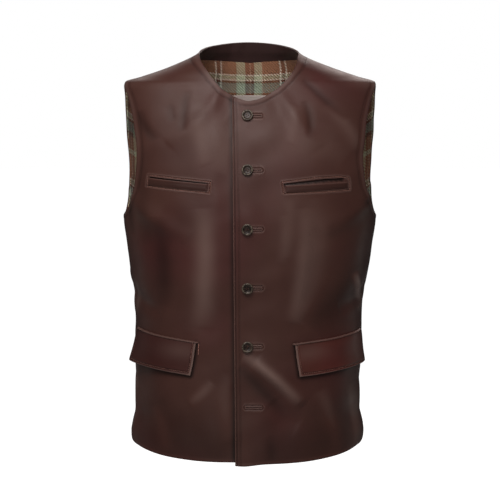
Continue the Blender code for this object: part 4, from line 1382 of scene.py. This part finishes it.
def stitch_row(sheet, path, face, pitch=STITCH_PITCH, length=STITCH_LENGTH, radius=STITCH_RADIUS):
    """Adds stitches along a path of flat points, on the face that face(angle, height) gives."""
    path = np.asarray(path, float)
    steps = np.linalg.norm(np.diff(path, axis=0), axis=1)
    marks = np.concatenate([[0], np.cumsum(steps)])
    fine = np.linspace(0, marks[-1], max(2, int(marks[-1] / 0.001)))
    flat = np.stack([np.interp(fine, marks, path[:, way]) for way in (0, 1)], axis=1)
    angle, height = flat[:, 0] / ARC, flat[:, 1]
    points, normals = place(angle, height, face(angle, height) + radius * 0.4)
    run = np.concatenate([[0], np.cumsum(np.linalg.norm(np.diff(points, axis=0), axis=1))])
    count = max(1, round(run[-1] / pitch))
    row = bmesh.new()

    def at(values, distance):
        """The row's points or normals at a distance along it."""
        return Vector([np.interp(distance, run, values[:, way]) for way in range(3)])

    for middle in (np.arange(count) + 0.5) * run[-1] / count:
        ahead = (at(points, middle + STITCH_REACH) - at(points, middle - STITCH_REACH)).normalized()
        aside = at(normals, middle).normalized().cross(ahead).normalized()
        turned = Matrix((ahead, aside, ahead.cross(aside))).transposed().to_4x4()
        size = Matrix.Diagonal((length / 2, radius, radius * 0.8, 1))
        where = Matrix.Translation(at(points, middle)) @ turned @ size
        bmesh.ops.create_uvsphere(row, u_segments=6, v_segments=4, radius=1, matrix=where)
    kept = bpy.data.meshes.new("row")
    row.to_mesh(kept)
    row.free()
    sheet.from_mesh(kept)
    bpy.data.meshes.remove(kept)


def inset(path, away, left, edges):
    """A flat path moved aside, to the left of its run or the right, without what comes too near the edges."""
    way = np.gradient(path, axis=0)
    way = way / np.linalg.norm(way, axis=1, keepdims=True)
    moved = path + (1 if left else -1) * away * np.stack([-way[:, 1], way[:, 0]], axis=1)
    clear = np.ones(len(moved), bool)
    for edge in edges:
        clear &= beside(edge, moved)[0] > away - 0.0004
    return moved[clear]


def dense(corners, step=0.001):
    """Points close together along a flat path of straight lines."""
    points = [corners[:1]]
    for a, b in zip(corners[:-1], corners[1:]):
        points.append(a + (b - a) * np.linspace(0, 1, max(2, int(np.linalg.norm(b - a) / step)))[1:, None])
    return np.concatenate(points)


def flat_path(path):
    """A path of (angle, height) on the flat cut."""
    return path * [ARC, 1]


edge_rows, hole_rows, pocket_rows = bmesh.new(), bmesh.new(), bmesh.new()
for name, side in (("left", 1), ("right", -1)):
    face, named = front_shapes[name]
    rows = [("neck", False), ("armhole", True)] + ([("lap", False)] if name == "left" else [])
    for edge, left in rows:
        turned_edges = [flat_path(named[other]) for other in STITCHED]
        line = inset(flat_path(named[edge]), STITCHED[edge], left, turned_edges)
        stitch_row(edge_rows, line * [side, 1], face)
for edge, left in (("neck", False), ("armhole", True)):
    line = inset(flat_path(back_edges[edge]), STITCHED[edge], not left, [flat_path(back_edges[edge])])
    stitch_row(edge_rows, line, back_face)
    stitch_row(edge_rows, line * [-1, 1] + [360 * ARC, 0], back_face)

face, _ = front_shapes["left"]
turns = np.linspace(0, 2 * np.pi, 33)[:-1, None]
around = np.concatenate([np.cos(turns), np.sin(turns)], axis=1)
for start, end in holes():
    rim = np.where(around[:, :1] < 0, start, end) + HOLE_STITCH * around
    stitch_row(hole_rows, np.concatenate([rim, rim[:1]]), face, pitch=0.0020, length=0.0016, radius=0.00026)
for name, pocket in POCKETS.items():
    face, _ = front_shapes[name]
    stitch_row(pocket_rows, laid(pocket, pocket.frame), face, pitch=0.0026, length=0.0023, radius=0.00036)

flap_rows = bmesh.new()
for name, (face, free) in flap_shapes.items():
    line = inset(dense(free), FLAP_STITCH, FLAPS[name].side == 1, [free])
    stitch_row(flap_rows, line, face)
face, _ = front_shapes["right"]
tack = np.array([spot(-0.0786, -0.4254), spot(-0.0795, -0.4422)])
stitch_row(flap_rows, tack, face, pitch=0.0012, length=0.0018, radius=0.0006)

button_thread = bmesh.new()
for number, height in enumerate(BUTTON_HEIGHTS, start=1):
    turned = seat(height) @ Matrix.Rotation(BUTTON_TURN * number, 4, "Z")
    for y in (-0.5, 0.5):
        where = Matrix.Translation((0, y * HOLES_APART, GAP + 0.0021))
        size = Matrix.Diagonal((HOLES_APART / 2 + 0.0003, 0.0004, 0.0004, 1))
        where = turned @ where @ size
        bmesh.ops.create_uvsphere(button_thread, u_segments=12, v_segments=6, radius=1, matrix=where)

for name, sheet, finish in (
    ("edge_stitches", edge_rows, brown_thread),
    ("buttonhole_stitches", hole_rows, brown_thread),
    ("pocket_stitches", pocket_rows, rose_thread),
    ("flap_stitches", flap_rows, rose_thread),
    ("button_thread", button_thread, brown_thread),
):
    finished(name, sheet, [finish])
for number in range(1, 6):
    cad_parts[f"shank_{number}"].data.materials[0] = brown_thread
